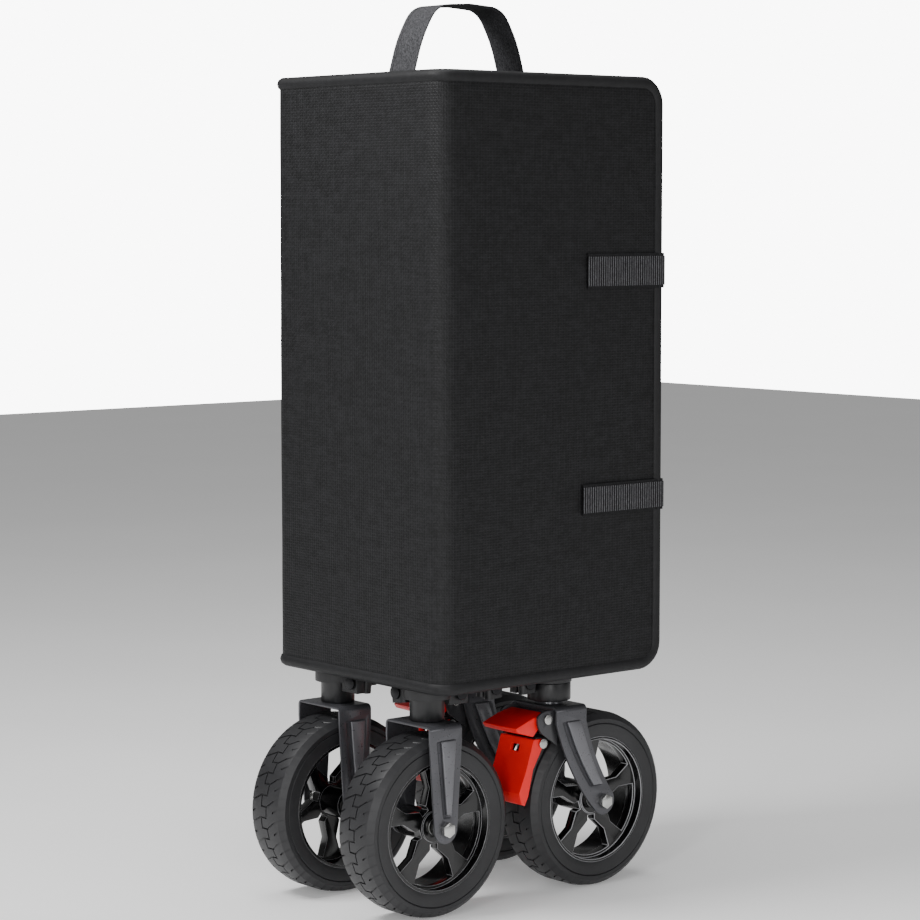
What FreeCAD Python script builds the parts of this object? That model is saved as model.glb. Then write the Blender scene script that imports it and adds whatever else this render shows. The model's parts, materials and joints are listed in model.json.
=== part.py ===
import FreeCAD, Part
import math
import os
import Sketcher

# A four-way folding wagon, folded upright and wrapped in its own padded floor mat.
# +X is the side with the mat's straps, -Y the rear with the fixed wheels, +Y the front with
# the swivel casters and the stowed pull handle, +Z up, and z = 0 is the ground.

doc = FreeCAD.newDocument("FoldedWagon")
sheet = doc.addObject("Spreadsheet::Sheet", "Sizes")

SIZES = {
    # wheels
    "wheel_radius": 87.5,
    "tread_width": 51.0,
    "tyre_depth": 24.5,
    "rim_radius": "=wheel_radius - tyre_depth",
    "rim_wall": 3.0,
    "rim_inset": 1.5,
    "disc_recess": 10.5,
    "disc_thickness": 10.0,
    "hub_radius": 15.0,
    "bush_radius": 8.0,
    "axle_radius": 5.0,
    "axle_clearance": 0.15,
    "spoke_count": 5.0,
    "slot_half_width": 4.5,
    "slot_start": "=hub_radius + 2",
    "slot_end": "=hub_radius + 7.5",
    "bell_shoulder": "=rim_radius * 0.535",
    "bell_half_width": "=rim_radius * 0.2825",
    "bell_end": "=rim_radius * 0.8206",
    "bell_end_half_width": "=rim_radius * 0.381",
    # forks and their bolts
    "fork_plate": 2.5,
    "fork_side_room": 5.5,
    "fork_width": "=tread_width + (fork_plate + fork_side_room) * 2",
    "fork_depth": 39.5,
    "fork_neck": 16.0,
    "fork_end_radius": 14.0,
    "fork_lead_radius": 235.0,
    "fork_trail_radius": 222.0,
    "crown_gap": 9.7,
    "crown_top": "=wheel_radius * 2 + crown_gap + fork_plate",
    "crown_bend": 5.0,
    "bolt_head": 5.5,
    "bolt_across": 13.0,
    "spacer_radius": 9.0,
    "end_play": 0.5,
    "stem_radius": 8.0,
    "stem_clearance": 0.15,
    "stem_top": "=crown_top + 17.3",
    "thrust_radius": 14.0,
    "thrust_height": 2.7,
    # the four columns stand over their forks, and the wheels set how far apart they are
    "half_gap_between_forks": 35.7,
    "column_x": "=fork_width / 2 + half_gap_between_forks",
    "wheel_gap": 28.75,
    "axle_middle_y": -0.125,
    "rear_trail": 4.25,
    "tyre_behind_column": 44.0,
    "caster_trail": "=wheel_radius - tyre_behind_column",
    "rear_column_y": "=axle_middle_y - wheel_radius - wheel_gap / 2 + rear_trail",
    "front_column_y": "=axle_middle_y + wheel_radius + wheel_gap / 2 - caster_trail",
    # brake of each caster, which hangs under the fork's crown
    "brake_plate": 2.5,
    "brake_side_gap": 2.5,
    "brake_width": "=fork_width - (fork_plate + brake_side_gap) * 2",
    "pedal_side_gap": 1.0,
    "pedal_width": "=brake_width - (brake_plate + pedal_side_gap) * 2",
    "lever_side_gap": 1.5,
    "lever_width": "=brake_width - (brake_plate + lever_side_gap) * 2",
    "lever_wall": 2.5,
    "cage_clearance": 0.6,
    "pedal_pin_y": "=front_column_y - 27.25",
    "pedal_pin_z": "=crown_top - 10.7",
    "lever_pin_y": "=pedal_pin_y - 3.2",
    "lever_pin_z": "=pedal_pin_z - 23.7",
    "brake_pin_radius": 3.0,
    "brake_pin_clearance": 0.15,
    # collars, legs and brackets
    "leg_radius": 14.3,
    "leg_wall": 1.4,
    "leg_fit": 0.1,
    "leg_length": 210.0,
    "leg_overlap": 72.0,
    "slider_clearance": 0.4,
    "slider_radius": "=leg_radius - leg_wall - slider_clearance",
    "socket_radius": "=leg_radius + 4.7",
    "collar_radius": "=socket_radius - 2.3",
    "swivel_radius": "=socket_radius + 2.5",
    "cap_radius": "=slider_radius + 4.5",
    "swivel_bottom": "=crown_top + thrust_height + 0.6",
    "collar_step": "=crown_top + 21.3",
    "socket_top": "=collar_step + 42",
    "leg_bottom": "=collar_step + 19",
    "leg_top": "=leg_bottom + leg_length",
    "slider_bottom": "=leg_top - leg_overlap",
    "ring_wall": 3.4,
    "ring_height": 30.0,
    # the mat's height sets where everything at the top is
    "mat_height": 580.0,
    "mat_thickness": 10.0,
    "mat_bottom": "=crown_top + 32.5",
    "mat_top": "=mat_bottom + mat_height",
    "cap_top": "=mat_top - 6.2",
    "cap_bottom": "=cap_top - 31",
    "slider_top": "=cap_top - 10",
    # folding lattice
    "lower_pin_z": "=collar_step + 2",
    "upper_pin_z": "=cap_top - 13",
    "layer_gap": 0.3,
    "bar_thickness": 10.0,
    "bar_depth": 20.0,
    "bar_wall": 1.5,
    "bar_clearance": 1.6,
    "pin_offset": "=socket_radius + ring_wall + bar_depth / 2 + bar_clearance",
    "rivet_radius": 4.0,
    "rivet_head_radius": 6.5,
    "rivet_head": 2.2,
    "rivet_clearance": 0.1,
    "hub_disc_radius": 26.0,
    "hub_disc_height": 18.0,
    "hub_disc_top": "=cap_top - 20",
    "hub_disc_bottom": "=hub_disc_top - hub_disc_height",
    "strut_radius": 8.0,
    "strut_wall": 1.4,
    "strut_gap": 3.5,
    "strut_foot": "=layer_gap + bar_thickness + rivet_head + strut_radius + strut_gap",
    "strut_start": "=mat_bottom + 17.8",
    # soft parts inside the mat
    "fabric_pack": 10.0,
    "fabric_low": "=mat_bottom + 35.8",
    "fabric_high": "=hub_disc_bottom - 5",
    "floor_patch_bottom": "=hub_disc_top + 4",
    "floor_patch_top": "=floor_patch_bottom + 5",
    "floor_patch_half_x": "=min(20; column_x - pin_offset - bar_depth / 2 - 1.5)",
    "loop_width": 37.0,
    "loop_thickness": 3.0,
    "loop_centre_y": "=(rear_column_y + front_column_y) / 2 + 18.25",
    "loop_foot": "=(front_column_y - rear_column_y) / 2 - 1.5",
    "loop_lean": 15.5,
    "loop_shoulder": "=loop_foot - loop_lean",
    "loop_shoulder_z": "=mat_top + 35.8",
    "loop_crown": 26.0,
    "loop_crown_z": "=loop_shoulder_z + 30",
    "loop_top": "=loop_crown_z + 4.5",
    # pull handle
    "handle_radius": 11.0,
    "handle_wall": 1.5,
    "slide_clearance": 0.15,
    "inner_radius": "=handle_radius - handle_wall - 0.5",
    "bracket_plate": 3.0,
    "ear_gap": "=handle_radius * 2 + 10",
    "ear_clearance": 0.3,
    "link_width": 14.0,
    "link_thickness": 3.0,
    "link_drop": 130.0,
    "link_room": 3.25,
    "handle_stand_off": "=strut_foot - strut_radius - strut_gap + link_thickness * 2 + bracket_plate + link_room",
    "handle_y": "=front_column_y + handle_stand_off + handle_radius",
    "handle_pin_z": "=mat_bottom + 23.8",
    "handle_pin_radius": 4.0,
    "handle_pin_clearance": 0.15,
    "handle_foot_top": "=handle_pin_z + 24",
    "inner_bottom": "=handle_foot_top + 8",
    "handle_tube_top": "=mat_top - 194.2",
    "collar_bottom": "=handle_tube_top - 12",
    "collar_top": "=handle_tube_top + 28",
    "lock_radius": "=handle_radius + 5",
    "button_width": 9.4,
    "button_height": 16.0,
    "button_thickness": 3.6,
    "button_travel": 2.5,
    "button_clearance": 0.3,
    "grip_width": 116.0,
    "grip_depth": "=(inner_radius + 3) * 2",
    "grip_top": "=cap_top",
    "grip_bar_bottom": "=grip_top - 17",
    "grip_neck_top": "=grip_top - 50",
    "grip_bottom": "=grip_top - 70",
    "inner_top": "=grip_top - 46",
    "grip_rim": 15.0,
    # floor mat, folded round the bundle
    "side_room": 51.6,
    "rear_room": "=socket_radius + ring_wall + 0.7",
    "handle_room": 48.35,
    "mat_width": "=(column_x + side_room + mat_thickness) * 2",
    "mat_depth": "=handle_y - rear_column_y + rear_room + handle_room + mat_thickness * 2",
    "mat_centre_y": "=(handle_y + rear_column_y + handle_room - rear_room) / 2",
    "mat_corner": 14.0,
    "board_thickness": 4.0,
    "board_margin": 12.0,
    "board_clearance": 0.25,
    "panel_gap": 0.8,
    "fold_gap": 0.6,
    "strap_thickness": 2.0,
    "strap_gap": 0.3,
    "strap_reach": 98.0,
    "strap_hinge_gap": 2.5,
    "strap_sewn": 62.0,
    "upper_strap_width": 34.0,
    "upper_strap_z": "=mat_top - 204.5",
    "lower_strap_width": 30.0,
    "lower_strap_z": "=mat_bottom + 157.8",
    "patch_depth": 0.9,
    "patch_margin": 4.0,
}


class Size:
    """A size that keeps its formula in the sheet's names, next to its present value."""

    def __init__(self, text, value):
        self.text = text
        self.value = value

    def joined(self, other, sign, result):
        return Size(f"({self.text} {sign} {other.text})", result)

    def __add__(self, other):
        other = as_size(other)
        return self.joined(other, "+", self.value + other.value)

    def __sub__(self, other):
        other = as_size(other)
        return self.joined(other, "-", self.value - other.value)

    def __mul__(self, other):
        other = as_size(other)
        return self.joined(other, "*", self.value * other.value)

    def __truediv__(self, other):
        other = as_size(other)
        return self.joined(other, "/", self.value / other.value)

    def __radd__(self, other):
        return as_size(other) + self

    def __rsub__(self, other):
        return as_size(other) - self

    def __rmul__(self, other):
        return as_size(other) * self

    def __neg__(self):
        return as_size(0) - self


def as_size(number):
    return number if isinstance(number, Size) else Size(repr(float(number)), float(number))


class Sheet:
    """Every named cell of the sheet as a Size."""


s = Sheet()
for row, alias in enumerate(SIZES, start=1):
    sheet.set(f"A{row}", alias)
    sheet.setAlias(f"B{row}", alias)
for row, content in enumerate(SIZES.values(), start=1):
    sheet.set(f"B{row}", str(content))
doc.recompute()
for alias in SIZES:
    setattr(s, alias, Size(f"Sizes.{alias}", float(sheet.get(alias))))

SIDES = ((-1, "left"), (1, "right"))
TO_X = FreeCAD.Rotation(FreeCAD.Vector(0, 1, 0), 90)
TO_MINUS_X = FreeCAD.Rotation(FreeCAD.Vector(0, 1, 0), -90)
TO_Y = FreeCAD.Rotation(FreeCAD.Vector(1, 0, 0), -90)
UPRIGHT = FreeCAD.Rotation()
nodes = {}


# ---------------------------------------------------------------- making a feature

def bind(thing, path, size):
    thing.setExpression(path, as_size(size).text)


def place(thing, x=0, y=0, z=0, turn=UPRIGHT):
    thing.Placement = FreeCAD.Placement(FreeCAD.Vector(), turn)
    for letter, size in zip("xyz", (x, y, z)):
        bind(thing, f"Placement.Base.{letter}", size)
    return thing


def new_body(name):
    return doc.addObject("PartDesign::Body", name)


def new_sketch(body, plane, offset=0):
    sketch = body.newObject("Sketcher::SketchObject", body.Name + "_sketch")
    faces = [f for f in body.Origin.OriginFeatures if f.Role == plane]
    sketch.AttachmentSupport = [(faces[0], "")]
    sketch.MapMode = "FlatFace"
    bind(sketch, "AttachmentOffset.Base.z", offset)
    return sketch


def pin_point(sketch, edge, end, x, y):
    """Tie one end of an edge to its place in the sketch."""
    for kind, size in (("DistanceX", as_size(x)), ("DistanceY", as_size(y))):
        index = sketch.addConstraint(Sketcher.Constraint(kind, -1, 1, edge, end, size.value))
        sketch.setExpression(f"Constraints[{index}]", size.text)


def arc_between(start, end, radius):
    """The short arc from start to end: it bulges to the right, or to the left below zero."""
    chord = end - start
    rise = math.sqrt(max(0.0, radius * radius - chord.Length ** 2 / 4))
    left = FreeCAD.Vector(-chord.y, chord.x, 0).normalize()
    centre = (start + end) / 2 + left * math.copysign(rise, radius)
    first, last = (start, end) if radius > 0 else (end, start)
    angles = [math.atan2(p.y - centre.y, p.x - centre.x) for p in (first, last)]
    circle = Part.Circle(centre, FreeCAD.Vector(0, 0, 1), abs(radius))
    return Part.ArcOfCircle(circle, angles[0], angles[1])


def outline(sketch, points, arcs=None):
    """Close lines through the points; arcs names the radius of each edge that is round."""
    arcs = arcs or {}
    corners = [FreeCAD.Vector(as_size(x).value, as_size(y).value, 0) for x, y in points]
    edges = []
    for number, corner in enumerate(corners):
        following = corners[(number + 1) % len(corners)]
        if number not in arcs:
            edges.append((sketch.addGeometry(Part.LineSegment(corner, following)), 1, 2))
            continue
        radius = as_size(arcs[number])
        arc = sketch.addGeometry(arc_between(corner, following, radius.value))
        ends = (1, 2) if radius.value > 0 else (2, 1)
        edges.append((arc, *ends))
        index = sketch.addConstraint(Sketcher.Constraint("Radius", arc, abs(radius.value)))
        sketch.setExpression(f"Constraints[{index}]", f"abs({radius.text})")
    for number, (edge, start, _) in enumerate(edges):
        before, _, finish = edges[number - 1]
        sketch.addConstraint(Sketcher.Constraint("Coincident", before, finish, edge, start))
        pin_point(sketch, edge, start, *points[number])


def circle(sketch, x, y, radius):
    x, y, radius = as_size(x), as_size(y), as_size(radius)
    centre = FreeCAD.Vector(x.value, y.value, 0)
    ring = sketch.addGeometry(Part.Circle(centre, FreeCAD.Vector(0, 0, 1), radius.value))
    pin_point(sketch, ring, 3, x, y)
    index = sketch.addConstraint(Sketcher.Constraint("Radius", ring, radius.value))
    sketch.setExpression(f"Constraints[{index}]", radius.text)


def block_outline(sketch, low_x, low_y, high_x, high_y):
    outline(sketch, [(low_x, low_y), (high_x, low_y), (high_x, high_y), (low_x, high_y)])


def pad(body, sketch, length, symmetric=True):
    feature = body.newObject("PartDesign::Pad", body.Name + "_pad")
    feature.Profile = sketch
    feature.SideType = "Symmetric" if symmetric else "One side"
    bind(feature, "Length", length)
    return feature


def pocket(body, sketch, length):
    """A cut to both sides of its sketch."""
    feature = body.newObject("PartDesign::Pocket", body.Name + "_pocket")
    feature.Profile = sketch
    feature.SideType = "Symmetric"
    bind(feature, "Length", length)
    return feature


def turned(name, points, arcs=None):
    """A body turned about its own Z axis from (radius, height) points."""
    body = new_body(name)
    sketch = new_sketch(body, "XZ_Plane")
    outline(sketch, points, arcs)
    feature = body.newObject("PartDesign::Revolution", name + "_turn")
    feature.Profile = sketch
    feature.ReferenceAxis = (sketch, ["V_Axis"])
    return body


def ring_profile(inner, outer, low, high):
    return [(inner, low), (outer, low), (outer, high), (inner, high)]


def tube(name, inner, outer, low, high):
    return turned(name, ring_profile(inner, outer, low, high))


def box(name, low, high):
    """A block between two corners."""
    thing = doc.addObject("Part::Box", name)
    for path, start, end in zip(("Length", "Width", "Height"), low, high):
        bind(thing, path, as_size(end) - as_size(start))
    return place(thing, *low)


def cylinder(name, radius, length, x, y, z, turn=UPRIGHT):
    thing = doc.addObject("Part::Cylinder", name)
    bind(thing, "Radius", radius)
    bind(thing, "Height", length)
    return place(thing, x, y, z, turn)


def fused(name, *members):
    thing = doc.addObject("Part::MultiFuse", name)
    thing.Shapes = list(members)
    return thing


def cut(name, base, *tools):
    thing = doc.addObject("Part::Cut", name)
    thing.Base = base
    thing.Tool = tools[0] if len(tools) == 1 else fused(name + "_tools", *tools)
    return thing


def group(name, members):
    thing = doc.addObject("Part::Compound", name)
    thing.Links = list(members)
    return thing


def node(name, thing):
    """Keep a finished sub-part under the name of its file."""
    thing.Label = name
    nodes[name] = thing
    return thing


# ---------------------------------------------------------------- wheels

half_tread = s.tread_width / 2
rear_axle_y = s.rear_column_y - s.rear_trail
front_axle_y = s.front_column_y + s.caster_trail
WHEELS = [(side, f"{end}_{word}", axle) for end, axle in (("rear", rear_axle_y), ("front", front_axle_y))
          for side, word in SIDES]


def make_tyre(name):
    """Solid tyre: flat sidewall ring, sloped shoulder and a flat tread band."""
    shoulder = s.wheel_radius - 1.5
    half = [(s.rim_radius, half_tread - s.rim_inset), (s.rim_radius + 3, half_tread),
            (s.wheel_radius - 7, half_tread), (shoulder, half_tread - 5),
            (s.wheel_radius, half_tread - 12)]
    return turned(name, [(r, -z) for r, z in half] + [(r, z) for r, z in reversed(half)])


def make_rim(name):
    """Barrel, recessed spoke disc and long hub, with a bell-shaped window between spokes."""
    edge = half_tread - s.rim_inset
    face = half_tread - s.disc_recess
    back = face - s.disc_thickness
    inside = s.rim_radius - s.rim_wall
    body = turned(name, [
        (s.bush_radius, -edge), (s.hub_radius, -edge), (s.hub_radius, back), (inside, back),
        (inside, -edge), (s.rim_radius, -edge), (s.rim_radius, edge), (inside, edge),
        (inside, face), (s.hub_radius, face), (s.hub_radius, face + 2), (s.bush_radius, face + 2)])
    sketch = new_sketch(body, "XY_Plane", face)
    rising = [(s.slot_start, s.slot_half_width), (s.slot_end, s.slot_half_width),
              (s.bell_shoulder, s.bell_half_width), (s.bell_end, s.bell_end_half_width)]
    window = [(x, -y) for x, y in rising] + [(x, y) for x, y in reversed(rising)]
    outline(sketch, window, {3: s.rim_radius - s.rim_wall - 3})
    window_cut = pocket(body, sketch, s.disc_thickness * 2 + 1)
    pattern = body.newObject("PartDesign::PolarPattern", name + "_windows")
    pattern.Originals = [window_cut]
    pattern.Axis = (sketch, ["N_Axis"])
    pattern.Angle = 360
    bind(pattern, "Occurrences", s.spoke_count)
    body.Tip = pattern
    return body


def make_bush(name):
    bore = s.axle_radius + s.axle_clearance
    return tube(name, bore, s.bush_radius, -half_tread, half_tread - s.disc_recess + 2)


for side, word, axle_y in WHEELS:
    for piece, maker in (("tyre", make_tyre), ("rim", make_rim), ("bush", make_bush)):
        made = place(maker(f"{word}_{piece}"), s.column_x * side, axle_y, s.wheel_radius,
                     TO_X if side > 0 else TO_MINUS_X)
        node(f"{word}_{piece}", made)


def make_axle(name, x, y, side):
    """Hex bolt through both fork plates, with a nut inside and a spacer at each plate."""
    half = s.fork_width / 2
    bearing = half - s.fork_plate
    spacer_in = half_tread + s.end_play
    hub_face = half_tread - s.disc_recess + 2 + s.end_play
    body = turned(name, [
        (0, -half), (s.axle_radius, -half), (s.axle_radius, -bearing), (s.spacer_radius, -bearing),
        (s.spacer_radius, -spacer_in), (s.axle_radius, -spacer_in), (s.axle_radius, hub_face),
        (s.bush_radius, hub_face), (s.bush_radius, bearing - 3), (s.spacer_radius, bearing - 3),
        (s.spacer_radius, bearing), (s.axle_radius, bearing), (s.axle_radius, half), (0, half)])
    for offset in (half, -half - s.bolt_head):
        sketch = new_sketch(body, "XY_Plane", offset)
        corner = s.bolt_across / math.sqrt(3)
        hexagon = [(corner * math.cos(turn), corner * math.sin(turn))
                   for turn in (math.radians(60 * number) for number in range(6))]
        outline(sketch, hexagon)
        pad(body, sketch, s.bolt_head, symmetric=False)
    return place(body, x, y, s.wheel_radius, TO_X if side > 0 else TO_MINUS_X)


# ---------------------------------------------------------------- forks

def crown_box(body, points, arcs):
    """Pressed fork: a side outline padded to full width, then hollowed to an open channel."""
    side_view = new_sketch(body, "YZ_Plane")
    outline(side_view, points, arcs)
    channel = pad(body, side_view, s.fork_width)
    inner = new_sketch(body, "XZ_Plane")
    reach = s.fork_width / 2 - s.fork_plate
    block_outline(inner, -reach, 0, reach, s.crown_top - s.fork_plate)
    pocket(body, inner, (s.caster_trail + s.fork_depth) * 4)
    return channel


def axle_hole(body, y):
    sketch = new_sketch(body, "YZ_Plane")
    circle(sketch, y, s.wheel_radius, s.axle_radius + 0.1)
    return pocket(body, sketch, s.fork_width * 2)


def bend_crown(body):
    """Round the two folds at the top of the channel."""
    doc.recompute()
    last = body.Tip
    high = s.crown_top.value - 0.01
    picked = [f"Edge{number}" for number, edge in enumerate(last.Shape.Edges, start=1)
              if edge.BoundBox.ZMin > high and edge.BoundBox.XLength < 0.01]
    bend = body.newObject("PartDesign::Fillet", body.Name + "_bend")
    bend.Base = (last, picked)
    bind(bend, "Radius", s.crown_bend)
    return bend


def make_rear_fork(name, side):
    body = new_body(name)
    half = s.fork_depth / 2
    neck = s.crown_top - s.fork_neck
    end = s.fork_end_radius
    crown_box(body, [
        (half, s.crown_top), (-half, s.crown_top), (-half, neck), (-end, s.wheel_radius),
        (0, s.wheel_radius - end), (end, s.wheel_radius), (half, neck)], {3: end, 4: end})
    axle_hole(body, 0)
    bend_crown(body)
    return place(body, s.column_x * side, rear_axle_y, 0)


def make_front_fork(name, side):
    """Swept-forward fork with its stem and thrust washer on top."""
    body = new_body(name)
    half = s.fork_depth / 2
    neck = s.crown_top - s.fork_neck
    end = s.fork_end_radius
    crown_box(body, [
        (half, s.crown_top), (-half, s.crown_top), (-half, neck),
        (s.caster_trail - end * 0.82, s.wheel_radius - end * 0.57),
        (s.caster_trail + end * 0.90, s.wheel_radius + end * 0.43), (half, neck)],
        {2: s.fork_lead_radius, 3: end, 4: -s.fork_trail_radius})
    axle_hole(body, s.caster_trail)
    bend_crown(body)
    washer = new_sketch(body, "XY_Plane", s.crown_top)
    circle(washer, 0, 0, s.thrust_radius)
    pad(body, washer, s.thrust_height, symmetric=False)
    stem = new_sketch(body, "XY_Plane", s.crown_top)
    circle(stem, 0, 0, s.stem_radius)
    pad(body, stem, s.stem_top - s.crown_top, symmetric=False)
    return place(body, s.column_x * side, s.front_column_y, 0)


rear_axles = []
for side, word in SIDES:
    node(f"rear_{word}_fork", make_rear_fork(f"rear_{word}_fork", side))
    node(f"front_{word}_fork", make_front_fork(f"front_{word}_fork", side))
    rear_axles.append(make_axle(f"rear_{word}_axle", s.column_x * side, rear_axle_y, side))
node("rear_axle_bolts", group("rear_axle_bolts", rear_axles))


# ---------------------------------------------------------------- caster brakes

def side_plate(name, points, x, arcs=None, holes=()):
    """A flat plate in the YZ plane, brake_plate thick, centred at x."""
    body = new_body(name)
    sketch = new_sketch(body, "YZ_Plane")
    outline(sketch, points, arcs)
    pad(body, sketch, s.brake_plate)
    for y, z, radius in holes:
        hole = new_sketch(body, "YZ_Plane")
        circle(hole, y, z, radius)
        pocket(body, hole, s.brake_plate * 4)
    return place(body, x, 0, 0)


def make_brake_bracket(name, side):
    """Two ears that carry the pedal's pin, joined by a web under the fork's crown."""
    fit = s.brake_pin_radius + s.brake_pin_clearance
    pin_y, pin_z = s.pedal_pin_y, s.pedal_pin_z
    under_crown = s.crown_top - s.fork_plate
    ears = []
    for hand in (-1, 1):
        x = s.column_x * side + (s.brake_width - s.brake_plate) / 2 * hand
        ears.append(side_plate(f"{name}_ear{hand + 1}", [
            (pin_y + 14, under_crown), (pin_y, under_crown), (pin_y - 12.5, pin_z + 3),
            (pin_y - 8, pin_z - 13), (pin_y + 12.5, s.lever_pin_z - 3.5)], x, {1: 16, 2: 22},
            [(pin_y, pin_z, fit)]))
    half = s.brake_width / 2
    web = box(name + "_web", (s.column_x * side - half, pin_y + 8, under_crown - s.brake_plate),
              (s.column_x * side + half, pin_y + 14, under_crown))
    return fused(name, web, *ears)


def make_brake_cage(name, side):
    """Two dark cheeks inside the lever's shell, joined by a strip that is welded to the ears."""
    fit = s.brake_pin_radius + s.brake_pin_clearance
    pin_y, pin_z = s.lever_pin_y, s.lever_pin_z
    inside = s.lever_width / 2 - s.lever_wall - s.cage_clearance
    cheeks = []
    for hand in (-1, 1):
        x = s.column_x * side + (inside - s.brake_plate / 2) * hand
        cheeks.append(side_plate(f"{name}_cheek{hand + 1}", [
            (pin_y + 13, pin_z + 6), (pin_y - 6, pin_z + 6), (pin_y - 12.5, pin_z - 24),
            (pin_y - 16, pin_z - 46), (pin_y - 13.6, pin_z - 46), (pin_y - 5, pin_z - 22.5),
            (pin_y + 7, pin_z - 5.5)], x, None, [(pin_y, pin_z, fit)]))
    half = s.brake_width / 2 - s.brake_plate
    strip = box(name + "_strip", (s.column_x * side - half, pin_y + 8, pin_z + 3),
                (s.column_x * side + half, pin_y + 13, pin_z + 6))
    return fused(name, strip, *cheeks)


def make_pedal(name, side):
    """Wing pedal: a flat tread that slopes down to its tip, on a barrel round the pin."""
    body = new_body(name)
    pin_y, pin_z = s.pedal_pin_y, s.pedal_pin_z
    sketch = new_sketch(body, "YZ_Plane")
    outline(sketch, [
        (pin_y + 5.5, pin_z), (pin_y, pin_z + 5.5), (pin_y - 17.5, pin_z + 2),
        (pin_y - 38, pin_z - 5.5), (pin_y - 35, pin_z - 10), (pin_y - 16, pin_z - 16),
        (pin_y - 9, pin_z - 9), (pin_y, pin_z - 5.5)],
        {0: 5.5, 7: 5.5})
    pad(body, sketch, s.pedal_width)
    hole = new_sketch(body, "YZ_Plane")
    circle(hole, pin_y, pin_z, s.brake_pin_radius + s.brake_pin_clearance)
    pocket(body, hole, s.pedal_width * 2)
    return place(body, s.column_x * side, 0, 0)


def make_lever(name, side):
    """Brake lever: a cranked shell that hangs from its pin and presses its foot on the tyre."""
    body = new_body(name)
    pin_y, pin_z = s.lever_pin_y, s.lever_pin_z
    front = [(pin_y - 11, pin_z + 4.5), (pin_y - 21, pin_z - 25), (pin_y - 30, pin_z - 46),
             (pin_y - 27, pin_z - 57)]
    sketch = new_sketch(body, "YZ_Plane")
    outline(sketch, [
        (pin_y + 4.5, pin_z), (pin_y, pin_z + 4.5), *front, (pin_y - 22.5, pin_z - 59),
        (pin_y - 18, pin_z - 50), (pin_y - 12, pin_z - 25), (pin_y, pin_z - 4.5)],
        {0: 4.5, 9: 4.5})
    pad(body, sketch, s.lever_width)
    hollow = new_sketch(body, "YZ_Plane")
    face = s.lever_wall + 1.5
    outline(hollow, [
        (pin_y + 20, pin_z + 20), *[(y + face, z) for y, z in front[:3]],
        (front[3][0] + face, front[3][1] + face), (pin_y + 20, pin_z - 57 + face)])
    pocket(body, hollow, s.lever_width - s.lever_wall * 2)
    hole = new_sketch(body, "YZ_Plane")
    circle(hole, pin_y, pin_z, s.brake_pin_radius + s.brake_pin_clearance)
    pocket(body, hole, s.lever_width * 2)
    window = new_sketch(body, "XZ_Plane")
    block_outline(window, -6, pin_z - 9, 6, pin_z - 2)
    pocket(body, window, s.fork_width * 3)
    return place(body, s.column_x * side, 0, 0)


def cross_pin(name, x, y, z, width):
    """A pin along X with a round head at each end."""
    half = width / 2
    radius = s.brake_pin_radius
    body = turned(name, [
        (0, -half - 2), (radius + 2, -half - 2), (radius + 2, -half), (radius, -half),
        (radius, half), (radius + 2, half), (radius + 2, half + 2), (0, half + 2)])
    return place(body, x, y, z, TO_X)


for side, word in SIDES:
    x = s.column_x * side
    node(f"{word}_brake_bracket", make_brake_bracket(f"{word}_brake_bracket", side))
    node(f"{word}_brake_cage", make_brake_cage(f"{word}_brake_cage", side))
    node(f"{word}_brake_pedal", make_pedal(f"{word}_brake_pedal", side))
    node(f"{word}_brake_lever", make_lever(f"{word}_brake_lever", side))
    node(f"front_{word}_fasteners", group(f"front_{word}_fasteners", [
        make_axle(f"front_{word}_axle", x, front_axle_y, side),
        cross_pin(f"{word}_pedal_pin", x, s.pedal_pin_y, s.pedal_pin_z, s.brake_width),
        cross_pin(f"{word}_lever_pin", x, s.lever_pin_y, s.lever_pin_z, s.lever_width + 0.6)]))


# ---------------------------------------------------------------- columns

COLUMNS = [(side, word, end, y) for side, word in SIDES
           for end, y in (("rear", s.rear_column_y), ("front", s.front_column_y))]


def make_rear_collar(name, side):
    seat = s.leg_radius + s.leg_fit
    body = turned(name, [
        (0, s.crown_top), (s.collar_radius, s.crown_top), (s.collar_radius, s.collar_step),
        (s.socket_radius, s.collar_step), (s.socket_radius, s.socket_top), (seat, s.socket_top),
        (seat, s.leg_bottom), (0, s.leg_bottom)])
    return place(body, s.column_x * side, s.rear_column_y, 0)


def make_swivel_housing(name, side):
    seat = s.leg_radius + s.leg_fit
    bore = s.stem_radius + s.stem_clearance
    roof = s.stem_top + 2
    body = turned(name, [
        (bore, s.swivel_bottom), (s.swivel_radius, s.swivel_bottom),
        (s.swivel_radius, s.collar_step), (s.socket_radius, s.collar_step),
        (s.socket_radius, s.socket_top), (seat, s.socket_top), (seat, s.leg_bottom),
        (0, s.leg_bottom), (0, roof), (bore, roof)])
    return place(body, s.column_x * side, s.front_column_y, 0)


collars = []
housings = []
legs = []
sliders = []
for side, word in SIDES:
    collars.append(make_rear_collar(f"rear_{word}_collar", side))
    housings.append(make_swivel_housing(f"front_{word}_housing", side))
for side, word, end, y in COLUMNS:
    leg = tube(f"{end}_{word}_leg", s.leg_radius - s.leg_wall, s.leg_radius, s.leg_bottom, s.leg_top)
    legs.append(place(leg, s.column_x * side, y, 0))
    slider = tube(f"{end}_{word}_slider", s.slider_radius - s.leg_wall, s.slider_radius,
                  s.slider_bottom, s.slider_top)
    sliders.append(place(slider, s.column_x * side, y, 0))
node("rear_leg_collars", group("rear_leg_collars", collars))
node("front_swivel_housings", group("front_swivel_housings", housings))
node("leg_tubes", group("leg_tubes", legs))
node("leg_slider_tubes", group("leg_slider_tubes", sliders))


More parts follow.
